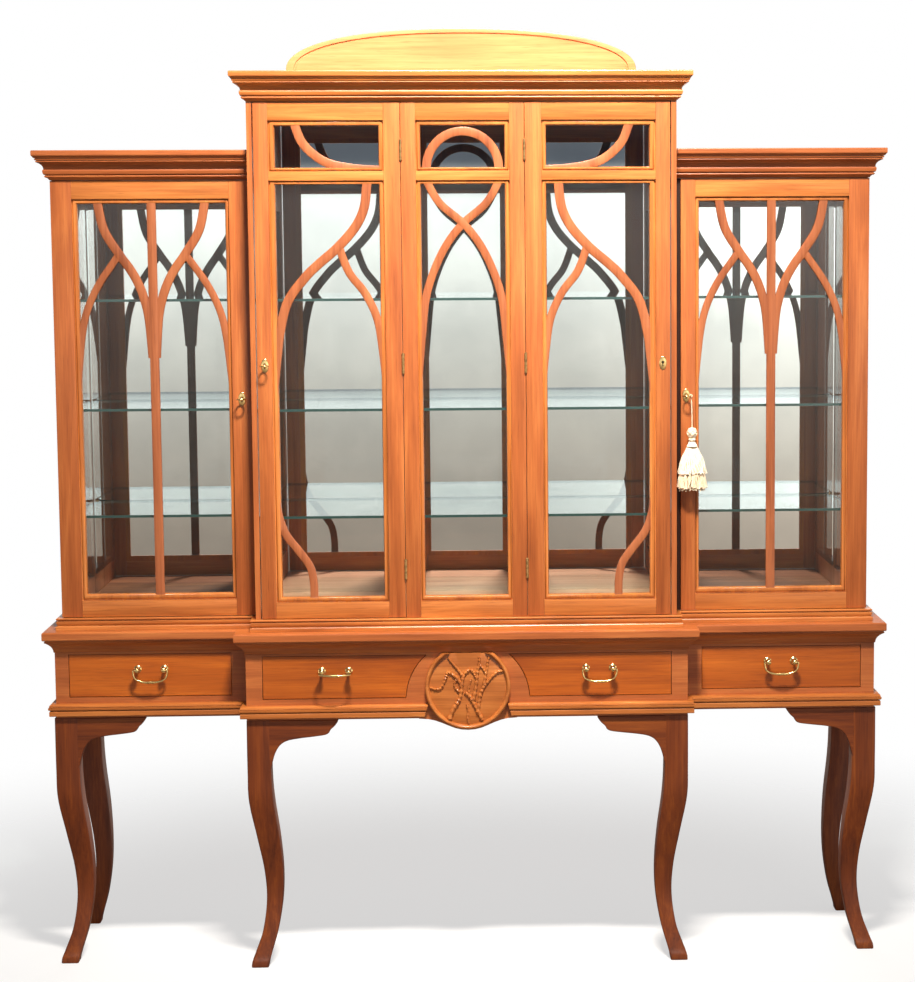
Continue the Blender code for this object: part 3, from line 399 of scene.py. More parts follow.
def boards(name, spans, finish, body, bevel=0.0012, replaces=()):
    """One piece made of boards, each given by two opposite corners."""
    builder = bmesh.new()
    for corner, other in spans:
        add_box(builder, corner, other, bevel)
    return settle(name, builder, finish, body, replaces)


def board(name, corner, other, finish, body, bevel=0.0012):
    return boards(name, [(corner, other)], finish, body, bevel)


def stack(name, outline_at, levels, finish, body, replaces=()):
    """A moulded slab: a plan drawn up through (height, overhang)."""
    loops = [[(x, y, z) for x, y in outline_at(out)] for z, out in levels]
    return skin(name, loops, finish, body, replaces, 16.0)


def add_slab(builder, outline, front, back, bevel=0.001):
    """An XZ outline with thickness along Y and a softened front and back edge."""
    loops = []
    for inset, y in (
        (bevel + 0.0004, front),
        (bevel, front),
        (bevel * 0.3, front + bevel * 0.35),
        (0.0, front + bevel),
        (0.0, back - bevel),
        (bevel, back),
    ):
        plan = shrink(outline, inset) if inset else outline
        loops.append([(x, y, z) for x, z in plan])
    loft(builder, loops)


def shrink(outline, amount):
    """An outline moved inwards, corner by corner."""
    area = sum(a[0] * b[1] - b[0] * a[1] for a, b in zip(outline, outline[1:] + outline[:1]))
    way = 1.0 if area > 0 else -1.0
    moved = []
    count = len(outline)
    for index in range(count):
        here = Vector(outline[index])
        before = (here - Vector(outline[index - 1])).normalized()
        after = (Vector(outline[(index + 1) % count]) - here).normalized()
        first = Vector((-before.y, before.x)) * way
        second = Vector((-after.y, after.x)) * way
        middle = first + second
        length = middle.length
        if length < 1e-6:
            moved.append(tuple(here + first * amount))
            continue
        middle /= length
        reach = amount / max(middle.dot(first), 0.35)
        moved.append(tuple(here + middle * reach))
    return moved


def cut_away(builder, point, normal):
    """Cuts off what lies beyond a plane, and gives the edges of the cut."""
    geometry = builder.verts[:] + builder.edges[:] + builder.faces[:]
    cut = bmesh.ops.bisect_plane(
        builder, geom=geometry, plane_co=point, plane_no=normal, clear_outer=True
    )
    return [item for item in cut["geom_cut"] if isinstance(item, bmesh.types.BMEdge)]


def smooth(points, between=6):
    """Catmull-Rom points through the given ones, in any dimension."""
    ends = [points[0], *points, points[-1]]
    line = []
    for a, b, c, d in zip(ends, ends[1:], ends[2:], ends[3:]):
        for step in range(between):
            t = step / between
            line.append(
                tuple(
                    0.5 * (2 * q + (r - p) * t + (2 * p - 5 * q + 4 * r - s) * t * t
                           + (3 * q - p - 3 * r + s) * t * t * t)
                    for p, q, r, s in zip(a, b, c, d)
                )
            )
    line.append(tuple(points[-1]))
    return line


def add_bar(builder, points, width, front, back, between=6):
    """A flat bar of one width that follows a curve in XZ, with softened front edges."""
    line = smooth(points, between)
    soft = 0.0012
    half = width / 2
    section = (
        (-half, back),
        (-half, front + soft),
        (-half + soft * 0.4, front + soft * 0.35),
        (-half + soft, front),
        (half - soft, front),
        (half - soft * 0.4, front + soft * 0.35),
        (half, front + soft),
        (half, back),
    )
    loops = []
    for index, (x, z) in enumerate(line):
        before, after = line[max(index - 1, 0)], line[min(index + 1, len(line) - 1)]
        along = Vector((after[0] - before[0], after[1] - before[1])).normalized()
        loops.append([(x - along.y * across, y, z + along.x * across) for across, y in section])
    loft(builder, loops)


def circle(steps):
    """Cosine and sine at equal steps once round."""
    turns = [math.tau * step / steps for step in range(steps)]
    return [(math.cos(turn), math.sin(turn)) for turn in turns]


def add_tube(builder, points, radius, sides=12):
    """A round tube along points; radius is one number or one for each point."""
    points = [Vector(point) for point in points]
    radii = radius if isinstance(radius, (list, tuple)) else [radius] * len(points)
    up = Vector((0.0, 1.0, 0.0))
    loops = []
    for index, point in enumerate(points):
        before, after = points[max(index - 1, 0)], points[min(index + 1, len(points) - 1)]
        along = (after - before).normalized()
        if abs(along.dot(up)) > 0.98:
            up = Vector((0.0, 0.0, 1.0))
        side = along.cross(up).normalized()
        up = side.cross(along).normalized()
        loops.append([point + (side * c + up * s) * radii[index] for c, s in circle(sides)])
    loft(builder, loops)


def add_turned(builder, profile, origin, toward, sides=24, flat=1.0):
    """A turned piece: (radius, distance) about a line; flat thins it across Y."""
    axis = Vector(toward).normalized()
    side = axis.orthogonal().normalized() if abs(axis.z) < 0.9 else Vector((1.0, 0.0, 0.0))
    other = axis.cross(side)
    loops = []
    for radius, along in profile:
        middle = Vector(origin) + axis * along
        loops.append([middle + (side * c * radius + other * s * radius * flat) for c, s in circle(sides)])
    loft(builder, loops)


def add_ring(builder, spots, wide, tall, sides):
    """A level ring of oval section; each spot is a point and the way out from it."""
    loops = []
    for spot, out in spots:
        loops.append([spot + out * wide * c + Vector((0.0, 0.0, tall * s)) for c, s in circle(sides)])
    loft(builder, loops, wrap=True)


# ---------------------------------------------------------------- plans
def breakfront(half, centre, front, step, back):
    """A function from overhang to the plan of a breakfront slab."""

    def at(out):
        return [
            (-half - out, back),
            (-half - out, front - out),
            (-centre - out, front - out),
            (-centre - out, front - step - out),
            (centre + out, front - step - out),
            (centre + out, front - out),
            (half + out, front - out),
            (half + out, back),
        ]

    return at


# ---------------------------------------------------------------- stand
# levels are (height, overhang)
TABLE_LEVELS = (
    (FRIEZE_TOP + 0.0003, 0.0005), (0.7285, 0.0022), (0.7320, 0.0026), (0.7350, 0.0034),
    (0.7390, 0.0050), (0.7430, 0.0078), (0.7465, 0.0112), (0.7495, 0.0150), (0.7518, 0.0185),
    (0.7524, 0.0200), (0.7545, 0.0205), (0.7550, 0.0192), (0.7568, 0.0192), (0.7574, 0.0222),
    (0.7584, 0.0240), (0.7600, 0.0247), (0.7735, 0.0247), (0.7756, 0.0240), (0.7767, 0.0226),
    (TABLE_TOP, 0.0208),
)
WAIST_LEVELS = (
    (TABLE_TOP + 0.0003, 0.0136), (0.7850, 0.0136), (0.7862, 0.0128), (0.7868, 0.0098),
    (0.7886, 0.0088), (0.7890, 0.0104), (0.7925, 0.0116), (0.7970, 0.0118), (0.7979, 0.0108),
    (0.7983, 0.0072), (0.8000, 0.0072), (0.8004, 0.0112), (0.8018, 0.0124), (0.8036, 0.0124),
    (CASE_BOTTOM - 0.0003, 0.0112),
)


def make_stand():
    table = breakfront(STAND_HALF, STAND_CENTRE, STAND_FACE, STEP, TABLE_BACK)
    stack("table_top_moulded", table, TABLE_LEVELS, CASE_X, "cabinet", ("table_top",))
    case = breakfront(CASE_HALF, CENTRE_HALF, FACE, STEP, CASE_BACK)
    stack("waist_moulding", case, WAIST_LEVELS, RAIL_X, "cabinet", ("cabinet_floor",))
    half, bottom, top = STAND_HALF - 0.0015, low("stand_case").z + 0.0015, high("stand_case").z - 0.0015
    corner, other = (-half, STAND_BACK + 0.0001, bottom), (half, STAND_BACK + 0.0026, top)
    board("stand_back_board", corner, other, INNER_X, "cabinet", 0.0006)
    for node, finish in (("frieze", CASE_X), ("stand_case", CASE_Y), ("dust_board", INNER_X)):
        paint((node,), finish)
    make_lower_mouldings()


LOWER_LEVELS = (
    # height, overhang, where it stops beside the medallion
    (0.5801, 0.0100, 0.1000), (0.5806, 0.0128, 0.0998), (0.5818, 0.0140, 0.0994),
    (0.5905, 0.0140, 0.0966), (0.5926, 0.0130, 0.0962), (0.5932, 0.0096, 0.0960),
    (0.5944, 0.0096, 0.0958), (0.5948, 0.0140, 0.0956), (0.5964, 0.0158, 0.0950),
    (0.6004, 0.0160, 0.0938), (0.6008, 0.0128, 0.0936), (0.6018, 0.0128, 0.0934),
    (0.6022, 0.0142, 0.0932), (0.6062, 0.0132, 0.0920), (0.6082, 0.0090, 0.0914),
    (0.6088, 0.0040, 0.0912),
)


def make_lower_mouldings():
    half, centre, face, middle = STAND_HALF, STAND_CENTRE, STAND_FACE, STAND_FACE - STEP
    for sign, side in SIDES:
        loops = []
        for height, out, stop in LOWER_LEVELS:
            plan = (
                (half + out, STAND_BACK),
                (half + out, face - out),
                (centre + out, face - out),
                (centre + out, middle - out),
                (stop, middle - out),
                (stop, middle - LAP),
                (centre + LAP, middle - LAP),
                (centre + LAP, face - LAP),
                (half + LAP, face - LAP),
                (half + LAP, STAND_BACK),
            )
            loops.append([(sign * x, y, height) for x, y in plan])
        node = f"lower_moulding_{side}"
        skin(f"{node}_run", loops, RAIL_X, "cabinet", (node,), 25.0)


# ---------------------------------------------------------------- medallion
MEDAL_RADIUS = high("medallion").x
MEDAL_Z = low("medallion").z + MEDAL_RADIUS
MEDAL_BACK = high("medallion").y
MEDAL_FLOOR = 0.0085


BOUGH_LIFT = 0.0012
BOUGH_SWELL = 1.12


def on_medal(x, z):
    """A point just in front of the medallion's floor, from its centre."""
    return (x, MEDAL_BACK - MEDAL_FLOOR - BOUGH_LIFT, MEDAL_Z + z)


def make_medallion():
    """A plaque with a raised rim, and a plain spray of knotted boughs in relief."""
    radius = MEDAL_RADIUS
    profile = (
        (0.0001, 0.0),
        (radius - 0.0015, 0.0),
        (radius, 0.0015),
        (radius, 0.0118),
        (radius - 0.0010, 0.0142),
        (radius - 0.0030, 0.0156),
        (radius - 0.0052, 0.0157),
        (radius - 0.0072, 0.0146),
        (radius - 0.0088, 0.0120),
        (radius - 0.0098, MEDAL_FLOOR - 0.0006),
        (radius - 0.0112, MEDAL_FLOOR - 0.0006),
        (radius - 0.0130, MEDAL_FLOOR),
        (radius * 0.55, MEDAL_FLOOR),
        (0.0001, MEDAL_FLOOR),
    )
    builder = bmesh.new()
    add_turned(builder, profile, (0.0, MEDAL_BACK, MEDAL_Z), OUTWARD, 96)
    boughs = (
        # each bough: points from the centre in millimetres, thickness at its start and end
        (((-44, -78), (-34, -52), (-24, -36), (-17, -20), (-15, 2), (-24, 20), (-38, 32)), 4.2, 3.0),
        (((-15, 0), (-12, 22), (-20, 38), (-32, 52), (-44, 68)), 3.6, 2.2),
        (((-38, 32), (-45, 34), (-49, 26), (-54, 12), (-62, -2), (-74, -4), (-86, 0)), 3.2, 2.4),
        (((-13, 18), (-4, 34), (6, 40), (13, 34), (17, 24)), 3.0, 2.4),
        (((32, -76), (22, -56), (12, -36), (4, -22), (-6, -12)), 3.8, 3.2),
        (((22, -62), (24, -40), (28, -18), (36, 0), (44, 10), (56, 24), (68, 34), (80, 36)), 4.0, 2.4),
        (((12, -34), (16, -12), (20, 12), (22, 34), (26, 52), (27, 68)), 3.8, 2.4),
        (((36, 2), (40, 22), (44, 42), (46, 58), (49, 70)), 3.2, 2.0),
        (((-2, -40), (0, -56), (-1, -72), (1, -84)), 2.6, 1.8),
        (((26, 50), (34, 44), (40, 34)), 2.4, 2.2),
        (((-24, 20), (-30, 10), (-28, -2), (-20, -10)), 2.6, 2.4),
        (((8, -30), (2, -10), (4, 8), (8, 18)), 2.6, 1.6),
    )
    rng = random.Random(11)
    for points, start, end in boughs:
        line = smooth([(x / 1000, z / 1000) for x, z in points], 7)
        count = len(line)
        radii = []
        for index in range(count):
            share = index / (count - 1)
            knot = 1.0 + 0.22 * math.sin(index * 1.7 + start) + rng.uniform(-0.10, 0.10)
            radii.append((start + (end - start) * share) / 1000 * knot * BOUGH_SWELL)
        add_tube(builder, [on_medal(x, z) for x, z in line], radii, 10)
    rim = cut_away(builder, (0.0, 0.0, high("medallion").z), (0.0, 0.0, 1.0))
    bmesh.ops.contextual_create(builder, geom=rim)
    for vert in builder.verts:
        away = math.hypot(vert.co.x, vert.co.z - MEDAL_Z)
        if away > radius:
            vert.co.x *= radius / away
            vert.co.z = MEDAL_Z + (vert.co.z - MEDAL_Z) * radius / away
    settle("medallion_carved", builder, RAIL_X, "cabinet", ("medallion",), 40.0)


# ---------------------------------------------------------------- legs
LEG_ROWS = (
    # height, then the two faces across the leg, front to back in front, and front to back behind
    (0.000, 0.002, 0.041, -0.013, 0.027, 0.018, 0.060),
    (0.012, 0.003, 0.043, -0.011, 0.030, 0.019, 0.061),
    (0.030, 0.010, 0.048, -0.002, 0.036, 0.022, 0.062),
    (0.080, 0.027, 0.062, 0.016, 0.052, 0.028, 0.068),
    (0.150, 0.036, 0.073, 0.027, 0.064, 0.033, 0.072),
    (0.220, 0.032, 0.075, 0.024, 0.066, 0.029, 0.070),
    (0.300, 0.018, 0.069, 0.011, 0.061, 0.014, 0.064),
    (0.385, 0.002, 0.058, 0.001, 0.055, 0.002, 0.056),
    (0.455, 0.000, 0.054, 0.000, 0.052, 0.000, 0.052),
    (LEG_TOP, 0.000, 0.054, 0.000, 0.052, 0.000, 0.052),
)
LEG_SOFT = 0.0034  # radius of a leg's corners
FOOT_SOFT = 0.0015
EAR_START, EAR_END = 0.046, 0.208
EAR_THICK = 0.0205
EAR = (
    (0.000, 0.018, 0.060), (0.012, 0.019, 0.061), (0.030, 0.022, 0.062), (0.080, 0.028, 0.068),
    (0.150, 0.033, 0.072), (0.220, 0.029, 0.070), (0.300, 0.014, 0.064), (0.385, 0.002, 0.056),
    (0.455, 0.000, 0.052), (LEG_TOP, 0.000, 0.052),
)
EAR = (
    (0.046, 0.440), (0.0525, 0.474), (0.061, 0.500), (0.073, 0.518), (0.090, 0.5275), (0.118, 0.5325),
    (0.150, 0.5360), (0.176, 0.5395), (0.186, 0.5440), (0.191, 0.5520), (0.200, 0.5600),
    (0.208, LEG_TOP - 0.004), (0.208, LEG_TOP),
)


def add_leg(builder, x_edge, way_x, y_edge, way_y):
    """The sawn and softened post of a cabriole leg."""
    first = 3 if way_y > 0 else 5
    rows = smooth([row[:3] + row[first : first + 2] for row in LEG_ROWS], 7)
    z, x0, x1, y0, y1 = rows[0]
    rows.insert(0, (0.0, x0 + FOOT_SOFT, x1 - FOOT_SOFT, y0 + FOOT_SOFT, y1 - FOOT_SOFT))
    loops = []
    for number, (z, x0, x1, y0, y1) in enumerate(rows):
        z = max(z, 0.0) + (FOOT_SOFT if number == 1 else 0.0)
        loop = []
        for cx, cy, start in (
            (x1 - LEG_SOFT, y1 - LEG_SOFT, 0.0),
            (x0 + LEG_SOFT, y1 - LEG_SOFT, 90.0),
            (x0 + LEG_SOFT, y0 + LEG_SOFT, 180.0),
            (x1 - LEG_SOFT, y0 + LEG_SOFT, 270.0),
        ):
            for step in range(4):
                turn = math.radians(start + 30.0 * step)
                loop.append((cx + LEG_SOFT * math.cos(turn), cy + LEG_SOFT * math.sin(turn)))
        loops.append([(x_edge + way_x * x, y_edge + way_y * y, z) for x, y in loop])
    loft(builder, loops)


def ear_outline(edge, way, length, start):
    """The ear's outline, with its curved lower edge."""
    reach = (length - start) / (EAR_END - EAR_START)
    points = [(edge + way * (start + (away - EAR_START) * reach), z) for away, z in smooth(EAR, 4)]
    return points + [(edge + way * start, LEG_TOP)]


def make_legs():
    front = STAND_FACE - 0.004
    for sign, side in SIDES:
        outer = sign * (STAND_HALF + 0.004)
        centre = sign * (STAND_CENTRE + 0.0005)
        for kind, x_edge, y_edge, way_y in (
            ("front", outer, front, 1),
            ("centre", centre, front - STEP, 1),
            ("rear", outer, STAND_BACK, -1),
        ):
            node = f"leg_{kind}_{side}"
            builder = bmesh.new()
            add_leg(builder, x_edge, -sign, y_edge, way_y)
            settle(f"{node}_post", builder, LEG_Z, "cabinet", (node,), 50.0)
            if kind != "rear":
                builder = bmesh.new()
                outline = ear_outline(x_edge, -sign, EAR_END, 0.050)
                add_slab(builder, outline, y_edge + LAP, y_edge + EAR_THICK, 0.0018)
                settle(f"{node}_ear", builder, LEG_X, "cabinet")
            if kind != "centre":
                builder = bmesh.new()
                outline = ear_outline(y_edge, way_y, 0.130, 0.048)
                add_slab(builder, outline, LAP, EAR_THICK, 0.0018)
                for vert in builder.verts:
                    y, depth_in, z = vert.co
                    vert.co = (x_edge - sign * depth_in, y, z)
                settle(f"{node}_side_ear", builder, LEG_X, "cabinet")


# ---------------------------------------------------------------- drawers and pulls
ARC_Z = 0.6165
ARC_RADIUS = 0.142
POST_HALF = 0.0305
BALL = 0.0068
REACH = 0.020
PULL_Z = 0.687
PULL_AT = {"side": 0.727, "centre": 0.3015}
FRONT_BOTTOM, FRONT_TOP = 0.6235, 0.7215
BOX_BOTTOM, BOX_TOP = 0.6275, 0.7095
BOX_ENDS = {"side": (0.556, 0.902), "centre": (0.154, 0.455)}  # near and far from the middle
BOX_WALL = 0.011
BAIL_RAISED = math.radians(84)  # the left inner bail stands up in the photograph
POST = (
    (0.0001, 0.0), (0.0085, 0.0), (0.0088, 0.0008), (0.0076, 0.0018), (0.0062, 0.0022),
    (0.0052, 0.0036), (0.0038, 0.0052), (0.0034, 0.0080), (0.0036, 0.0108), (0.0046, 0.0124),
)
BAIL_ARM = (
    (0.0388, 0.000), (0.0390, -0.006), (0.0378, -0.013), (0.0338, -0.020), (0.0248, -0.0252),
    (0.0124, -0.0280), (0.0040, -0.0283),
)


def drawer_outline(which, sign, node):
    """The drawer front's outline: the inner drawers curve round the medallion."""
    bottom, top = FRONT_BOTTOM, FRONT_TOP
    lo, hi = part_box(node)
    if which == "side":
        return [(lo.x, bottom), (hi.x, bottom), (hi.x, top), (lo.x, top)]
    far = max(abs(lo.x), abs(hi.x))
    start, end = math.asin((bottom - ARC_Z) / ARC_RADIUS), math.asin((top - ARC_Z) / ARC_RADIUS)
    arc = []
    for index in range(25):
        angle = end + (start - end) * index / 24
        arc.append((ARC_RADIUS * math.cos(angle), ARC_Z + ARC_RADIUS * math.sin(angle)))
    return [(sign * x, z) for x, z in [(far, bottom), (far, top), *arc]]


def make_drawer(which, sign, side):
    node = f"drawer_{which}_{side}"
    face = STAND_FACE - (STEP if which == "centre" else 0.0)
    builder = bmesh.new()
    add_slab(builder, drawer_outline(which, sign, node), face + LAP, face + 0.018, 0.0012)
    settle(f"{node}_front", builder, DRAWER_X, node, (node,))
    left, right = sorted(sign * end for end in BOX_ENDS[which])
    inner_left, inner_right = left + BOX_WALL, right - BOX_WALL
    start, back = face + 0.0182, high(node).y
    walls = (
        ((left, start, BOX_BOTTOM), (inner_left, back, BOX_TOP)),
        ((inner_right, start, BOX_BOTTOM), (right, back, BOX_TOP)),
        ((inner_left, back - BOX_WALL, BOX_BOTTOM), (inner_right, back, BOX_TOP)),
    )
    boards(f"{node}_walls", walls, INNER_X, node, 0.001)
    corner, other = (inner_left, start, BOX_BOTTOM), (inner_right, back - BOX_WALL, BOX_BOTTOM + 0.008)
    board(f"{node}_bottom", corner, other, INNER_X, node, 0.0004)
    middle = sign * PULL_AT[which]
    turns = [math.radians(138 - 138 * index / 8) for index in range(9)]
    ball = [(BALL * math.sin(turn) + 0.0001, REACH + BALL * math.cos(turn)) for turn in turns]
    builder = bmesh.new()
    for offset in (-POST_HALF, POST_HALF):
        add_turned(builder, [*POST, *ball], (middle + offset, face, PULL_Z), OUTWARD)
    settle(f"pull_posts_{which}_{side}", builder, BRASS, node, (), 50.0)
    make_bail(which, side, face, middle)


def make_bail(which, side, face, middle):
    """The swinging bail, with pins into the two balls."""
    node = f"bail_{which}_{side}"
    raised = BAIL_RAISED if (which, side) == ("centre", "left") else 0.0
    pivot = Vector((middle, face - REACH, PULL_Z))

    def lifted(x, z):
        return pivot + Vector((x, z * math.sin(raised), z * math.cos(raised)))

    arm = smooth(BAIL_ARM, 5)
    flat = [(-0.0335, 0.0), (-0.0362, 0.0001)]
    flat += [(-x, z) for x, z in arm[1:]] + [(0.0, -0.0279)] + [(x, z) for x, z in arm[:0:-1]]
    flat += [(0.0362, 0.0001), (0.0335, 0.0)]
    radii = [0.00225 + 0.00115 * max(0.0, 1.0 - abs(x) / 0.030) for x, _ in flat]
    builder = bmesh.new()
    add_tube(builder, [lifted(x, z) for x, z in flat], radii)
    for x in (-0.0062, -0.0038, 0.0038, 0.0062):
        collar = [lifted(x + step, -0.0281) for step in (-0.0009, -0.0005, 0.0005, 0.0009)]
        add_tube(builder, collar, [0.0034, 0.0044, 0.0044, 0.0034])
    settle(f"{node}_wire", builder, BRASS, node, (node,), 60.0)


# ---------------------------------------------------------------- cornices and pediment
CORNICE_LEVELS = (
    (0.0003, 0.0004), (0.0024, 0.0014), (0.0046, 0.0036), (0.0058, 0.0060), (0.0061, 0.0078),
    (0.0072, 0.0095), (0.0088, 0.0101), (0.0103, 0.0093), (0.0108, 0.0078), (0.0120, 0.0076),
    (0.0122, 0.0104), (0.0140, 0.0122), (0.0172, 0.0133), (0.0210, 0.0136), (0.0236, 0.0128),
    (0.0240, 0.0112), (0.0270, 0.0114), (0.0302, 0.0124), (0.0332, 0.0144), (0.0358, 0.0172),
    (0.0380, 0.0210), (0.0392, 0.0238), (0.0396, 0.0254), (0.0410, 0.0266), (0.0424, 0.0258),
    (0.0428, 0.0244), (0.0438, 0.0244), (0.0442, 0.0276), (0.0472, 0.0288), (0.0476, 0.0268),
    (0.0488, 0.0268), (0.0492, 0.0302), (0.0520, 0.0320), (0.0540, 0.0342), (0.0558, 0.0348),
    (0.0640, 0.0348), (0.0654, 0.0342), (0.0660, 0.0326),
)


def make_cornices():
    for sign, side in SIDES:
        node = f"cornice_{side}"
        inner = min(abs(low(node).x), abs(high(node).x))

        def plan(out, sign=sign, inner=inner):
            points = (
                (inner, CASE_BACK),
                (inner, FACE - out),
                (CASE_HALF + out, FACE - out),
                (CASE_HALF + out, CASE_BACK),
            )
            return [(sign * x, y) for x, y in points]

        levels = [(SIDE_TOP + height, out) for height, out in CORNICE_LEVELS]
        stack(f"{node}_moulded", plan, levels, CASE_X, "cabinet", (node,))

    def centre_plan(out):
        half = CENTRE_HALF + out
        return [
            (-half, CASE_BACK),
            (-half, CENTRE_FACE - out),
            (half, CENTRE_FACE - out),
            (half, CASE_BACK),
        ]

    levels = [(CENTRE_TOP + height, out) for height, out in CORNICE_LEVELS]
    stack("cornice_centre_moulded", centre_plan, levels, RAIL_X, "cabinet", ("cornice_centre",))


def arch(half, base, rise, steps=72):
    """A half superellipse, from its right end round to its left end."""
    power = 2 / 2.25
    points = []
    for index in range(steps + 1):
        turn = math.pi * index / steps
        across, up = math.cos(turn), max(math.sin(turn), 0.0)
        points.append((half * math.copysign(abs(across) ** power, across), base + rise * up**power))
    return points


def make_pediment():
    """The arched board, with one line cut a finger's width inside its edge."""
    lo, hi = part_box("pediment")
    base, half, rise = lo.z, hi.x, hi.z - lo.z
    soft, groove, line = 0.0014, 0.0026, 0.0100

    loops = []
    for inset, y in (
        (0.0, hi.y),
        (0.0, lo.y + soft),
        (soft * 0.3, lo.y + soft * 0.3),
        (soft, lo.y),
        (line - 0.0008, lo.y),
        (line, lo.y + groove),
        (line + 0.0018, lo.y + groove),
        (line + 0.0026, lo.y),
    ):
        end = inset * 1.8 if inset > 0.002 else inset  # the line draws in more at the arch's ends
        loops.append([(x, y, z) for x, z in arch(half - end, base, rise - inset)])
    skin("pediment_board", loops, LIGHT_X, "cabinet", ("pediment",), 30.0)


# ---------------------------------------------------------------- doors
BEAD = (
    # share of the way from the flat to the glass, depth behind the face
    (0.000, 0.0002), (0.020, 0.0062), (0.130, 0.0066), (0.215, 0.0060), (0.250, 0.0046),
    (0.320, 0.0037), (0.420, 0.0034), (0.780, 0.0036), (0.850, 0.0042), (0.905, 0.0056),
    (0.925, 0.0078), (1.000, 0.0098), (1.000, 0.0199), (0.000, 0.0199),
)
# what each opening and the flat round it span: left, right, bottom, top, on the right-hand side
SIDE_OPEN = (0.5390, 0.8715, 0.8580, 1.7485)
CENTRE_OPEN = ((0.1880, 0.4200, 0.8545, 1.7880), (0.1880, 0.4200, 1.8255, 1.9180))
PANEL_OPEN = ((-0.0940, 0.0940, 0.8545, 1.7880), (-0.0940, 0.0940, 1.8255, 1.9180))
SIDE_FLAT = (0.5300, 0.8830, 0.8440, 1.7590)
CENTRE_FLAT = ((0.1770, 0.4345, 0.8430, 1.7965), (0.1770, 0.4345, 1.8180, 1.9300))
PANEL_FLAT = ((-0.1050, 0.1050, 0.8430, 1.7965), (-0.1050, 0.1050, 1.8180, 1.9300))


def add_bead(builder, flat, opening, face):
    """The sloped bead between a frame's flat and its glass, mitred at the corners."""
    loops = []
    for share, depth in BEAD:
        a, b, c, d = (f + (o - f) * share for f, o in zip(flat, opening))
        y = face + depth
        loops.append([(a, y, c), (b, y, c), (b, y, d), (a, y, d)])
    loft(builder, loops, wrap=True)


def turned_over(limits, sign):
    """Opening limits on the side that sign names."""
    left, right = sorted((sign * limits[0], sign * limits[1]))
    return (left, right, limits[2], limits[3])


RAIL_SHY = 0.0003  # the rails lie a hair behind the stiles


def make_door_frame(name, body, node, face, flats, openings, sign):
    """Stiles, rails and beads of one glazed frame."""
    lo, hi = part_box(node)
    flats = [turned_over(flat, sign) for flat in flats]
    openings = [turned_over(opening, sign) for opening in openings]
    back = face + DOOR_THICK
    left, right = flats[0][0], flats[0][1]
    stiles = (
        ((lo.x, face, lo.z), (left, back, hi.z)),
        ((right, face, lo.z), (hi.x, back, hi.z)),
    )
    boards(f"{name}_stiles", stiles, CASE_Z, body, replaces=(node,))
    front, rear = face + RAIL_SHY, back - RAIL_SHY
    rails = [
        ((left, front, lo.z), (right, rear, flats[0][2])),
        ((left, front, flats[-1][3]), (right, rear, hi.z)),
    ]
    if len(flats) > 1:
        rails.append(((left, front, flats[0][3]), (right, face + 0.0112, flats[1][2])))
    boards(f"{name}_rails", rails, RAIL_X, body, 0.0008)
    builder = bmesh.new()
    for flat, opening in zip(flats, openings):
        add_bead(builder, flat, opening, face)
    settle(f"{name}_beads", builder, BEAD_Z, body, (), 50.0)


SIDE_POST = ((0.0, 0.852), (0.0, 1.30), (0.0, 1.754))
SIDE_LEAN = (
    (0.1205, 1.7505), (0.1070, 1.6885), (0.0740, 1.6340), (0.0530, 1.6045), (0.0360, 1.5750),
    (0.0220, 1.5390), (0.0110, 1.4900), (0.0040, 1.4000),
)
SIDE_BRANCH = (
    (0.0720, 1.6380), (0.0800, 1.6270), (0.0960, 1.6045), (0.1180, 1.5730), (0.1390, 1.5340),
    (0.1540, 1.4940), (0.1630, 1.4500), (0.1690, 1.4000), (0.1760, 1.3300),
)
CENTRE_MAIN = (
    (0.2150, 1.7900), (0.2220, 1.7360), (0.2430, 1.6920), (0.2830, 1.6470), (0.3250, 1.6110),
    (0.3560, 1.5810), (0.3960, 1.5270), (0.4150, 1.4580), (0.4230, 1.4000), (0.4330, 1.3100),
)
CENTRE_BRANCH = (
    (0.2800, 1.6560), (0.2760, 1.6380), (0.2570, 1.5900), (0.2220, 1.5440), (0.1960, 1.4870),
    (0.1850, 1.4200), (0.1770, 1.3400),
)
CENTRE_FOOT = (
    (0.4330, 1.1000), (0.4250, 1.0400), (0.4090, 0.9970), (0.3810, 0.9600), (0.3570, 0.9250),
    (0.3490, 0.8900), (0.3480, 0.8500),
)
CENTRE_ARCH = (
    (0.3750, 1.9220), (0.3590, 1.8820), (0.3300, 1.8520), (0.2970, 1.8340), (0.2500, 1.8240),
    (0.2100, 1.8205), (0.1800, 1.8195),
)
PANEL_CROSS = (
    (-0.0800, 1.7920), (-0.0520, 1.7450), (0.0000, 1.7000), (0.0360, 1.6550), (0.0640, 1.6000),
    (0.0850, 1.5350), (0.0950, 1.4500), (0.1060, 1.3300),
)


def clipped(builder, limits, margin=0.0034):
    """Cuts what a mesh has outside an opening, leaving its ends inside the bead."""
    x0, x1, z0, z1 = limits
    planes = (
        ((x0 - margin, 0, 0), (-1, 0, 0)),
        ((x1 + margin, 0, 0), (1, 0, 0)),
        ((0, 0, z0 - margin), (0, 0, -1)),
        ((0, 0, z1 + margin), (0, 0, 1)),
    )
    for point, normal in planes:
        rim = cut_away(builder, point, normal)
        if rim:
            bmesh.ops.holes_fill(builder, edges=rim)


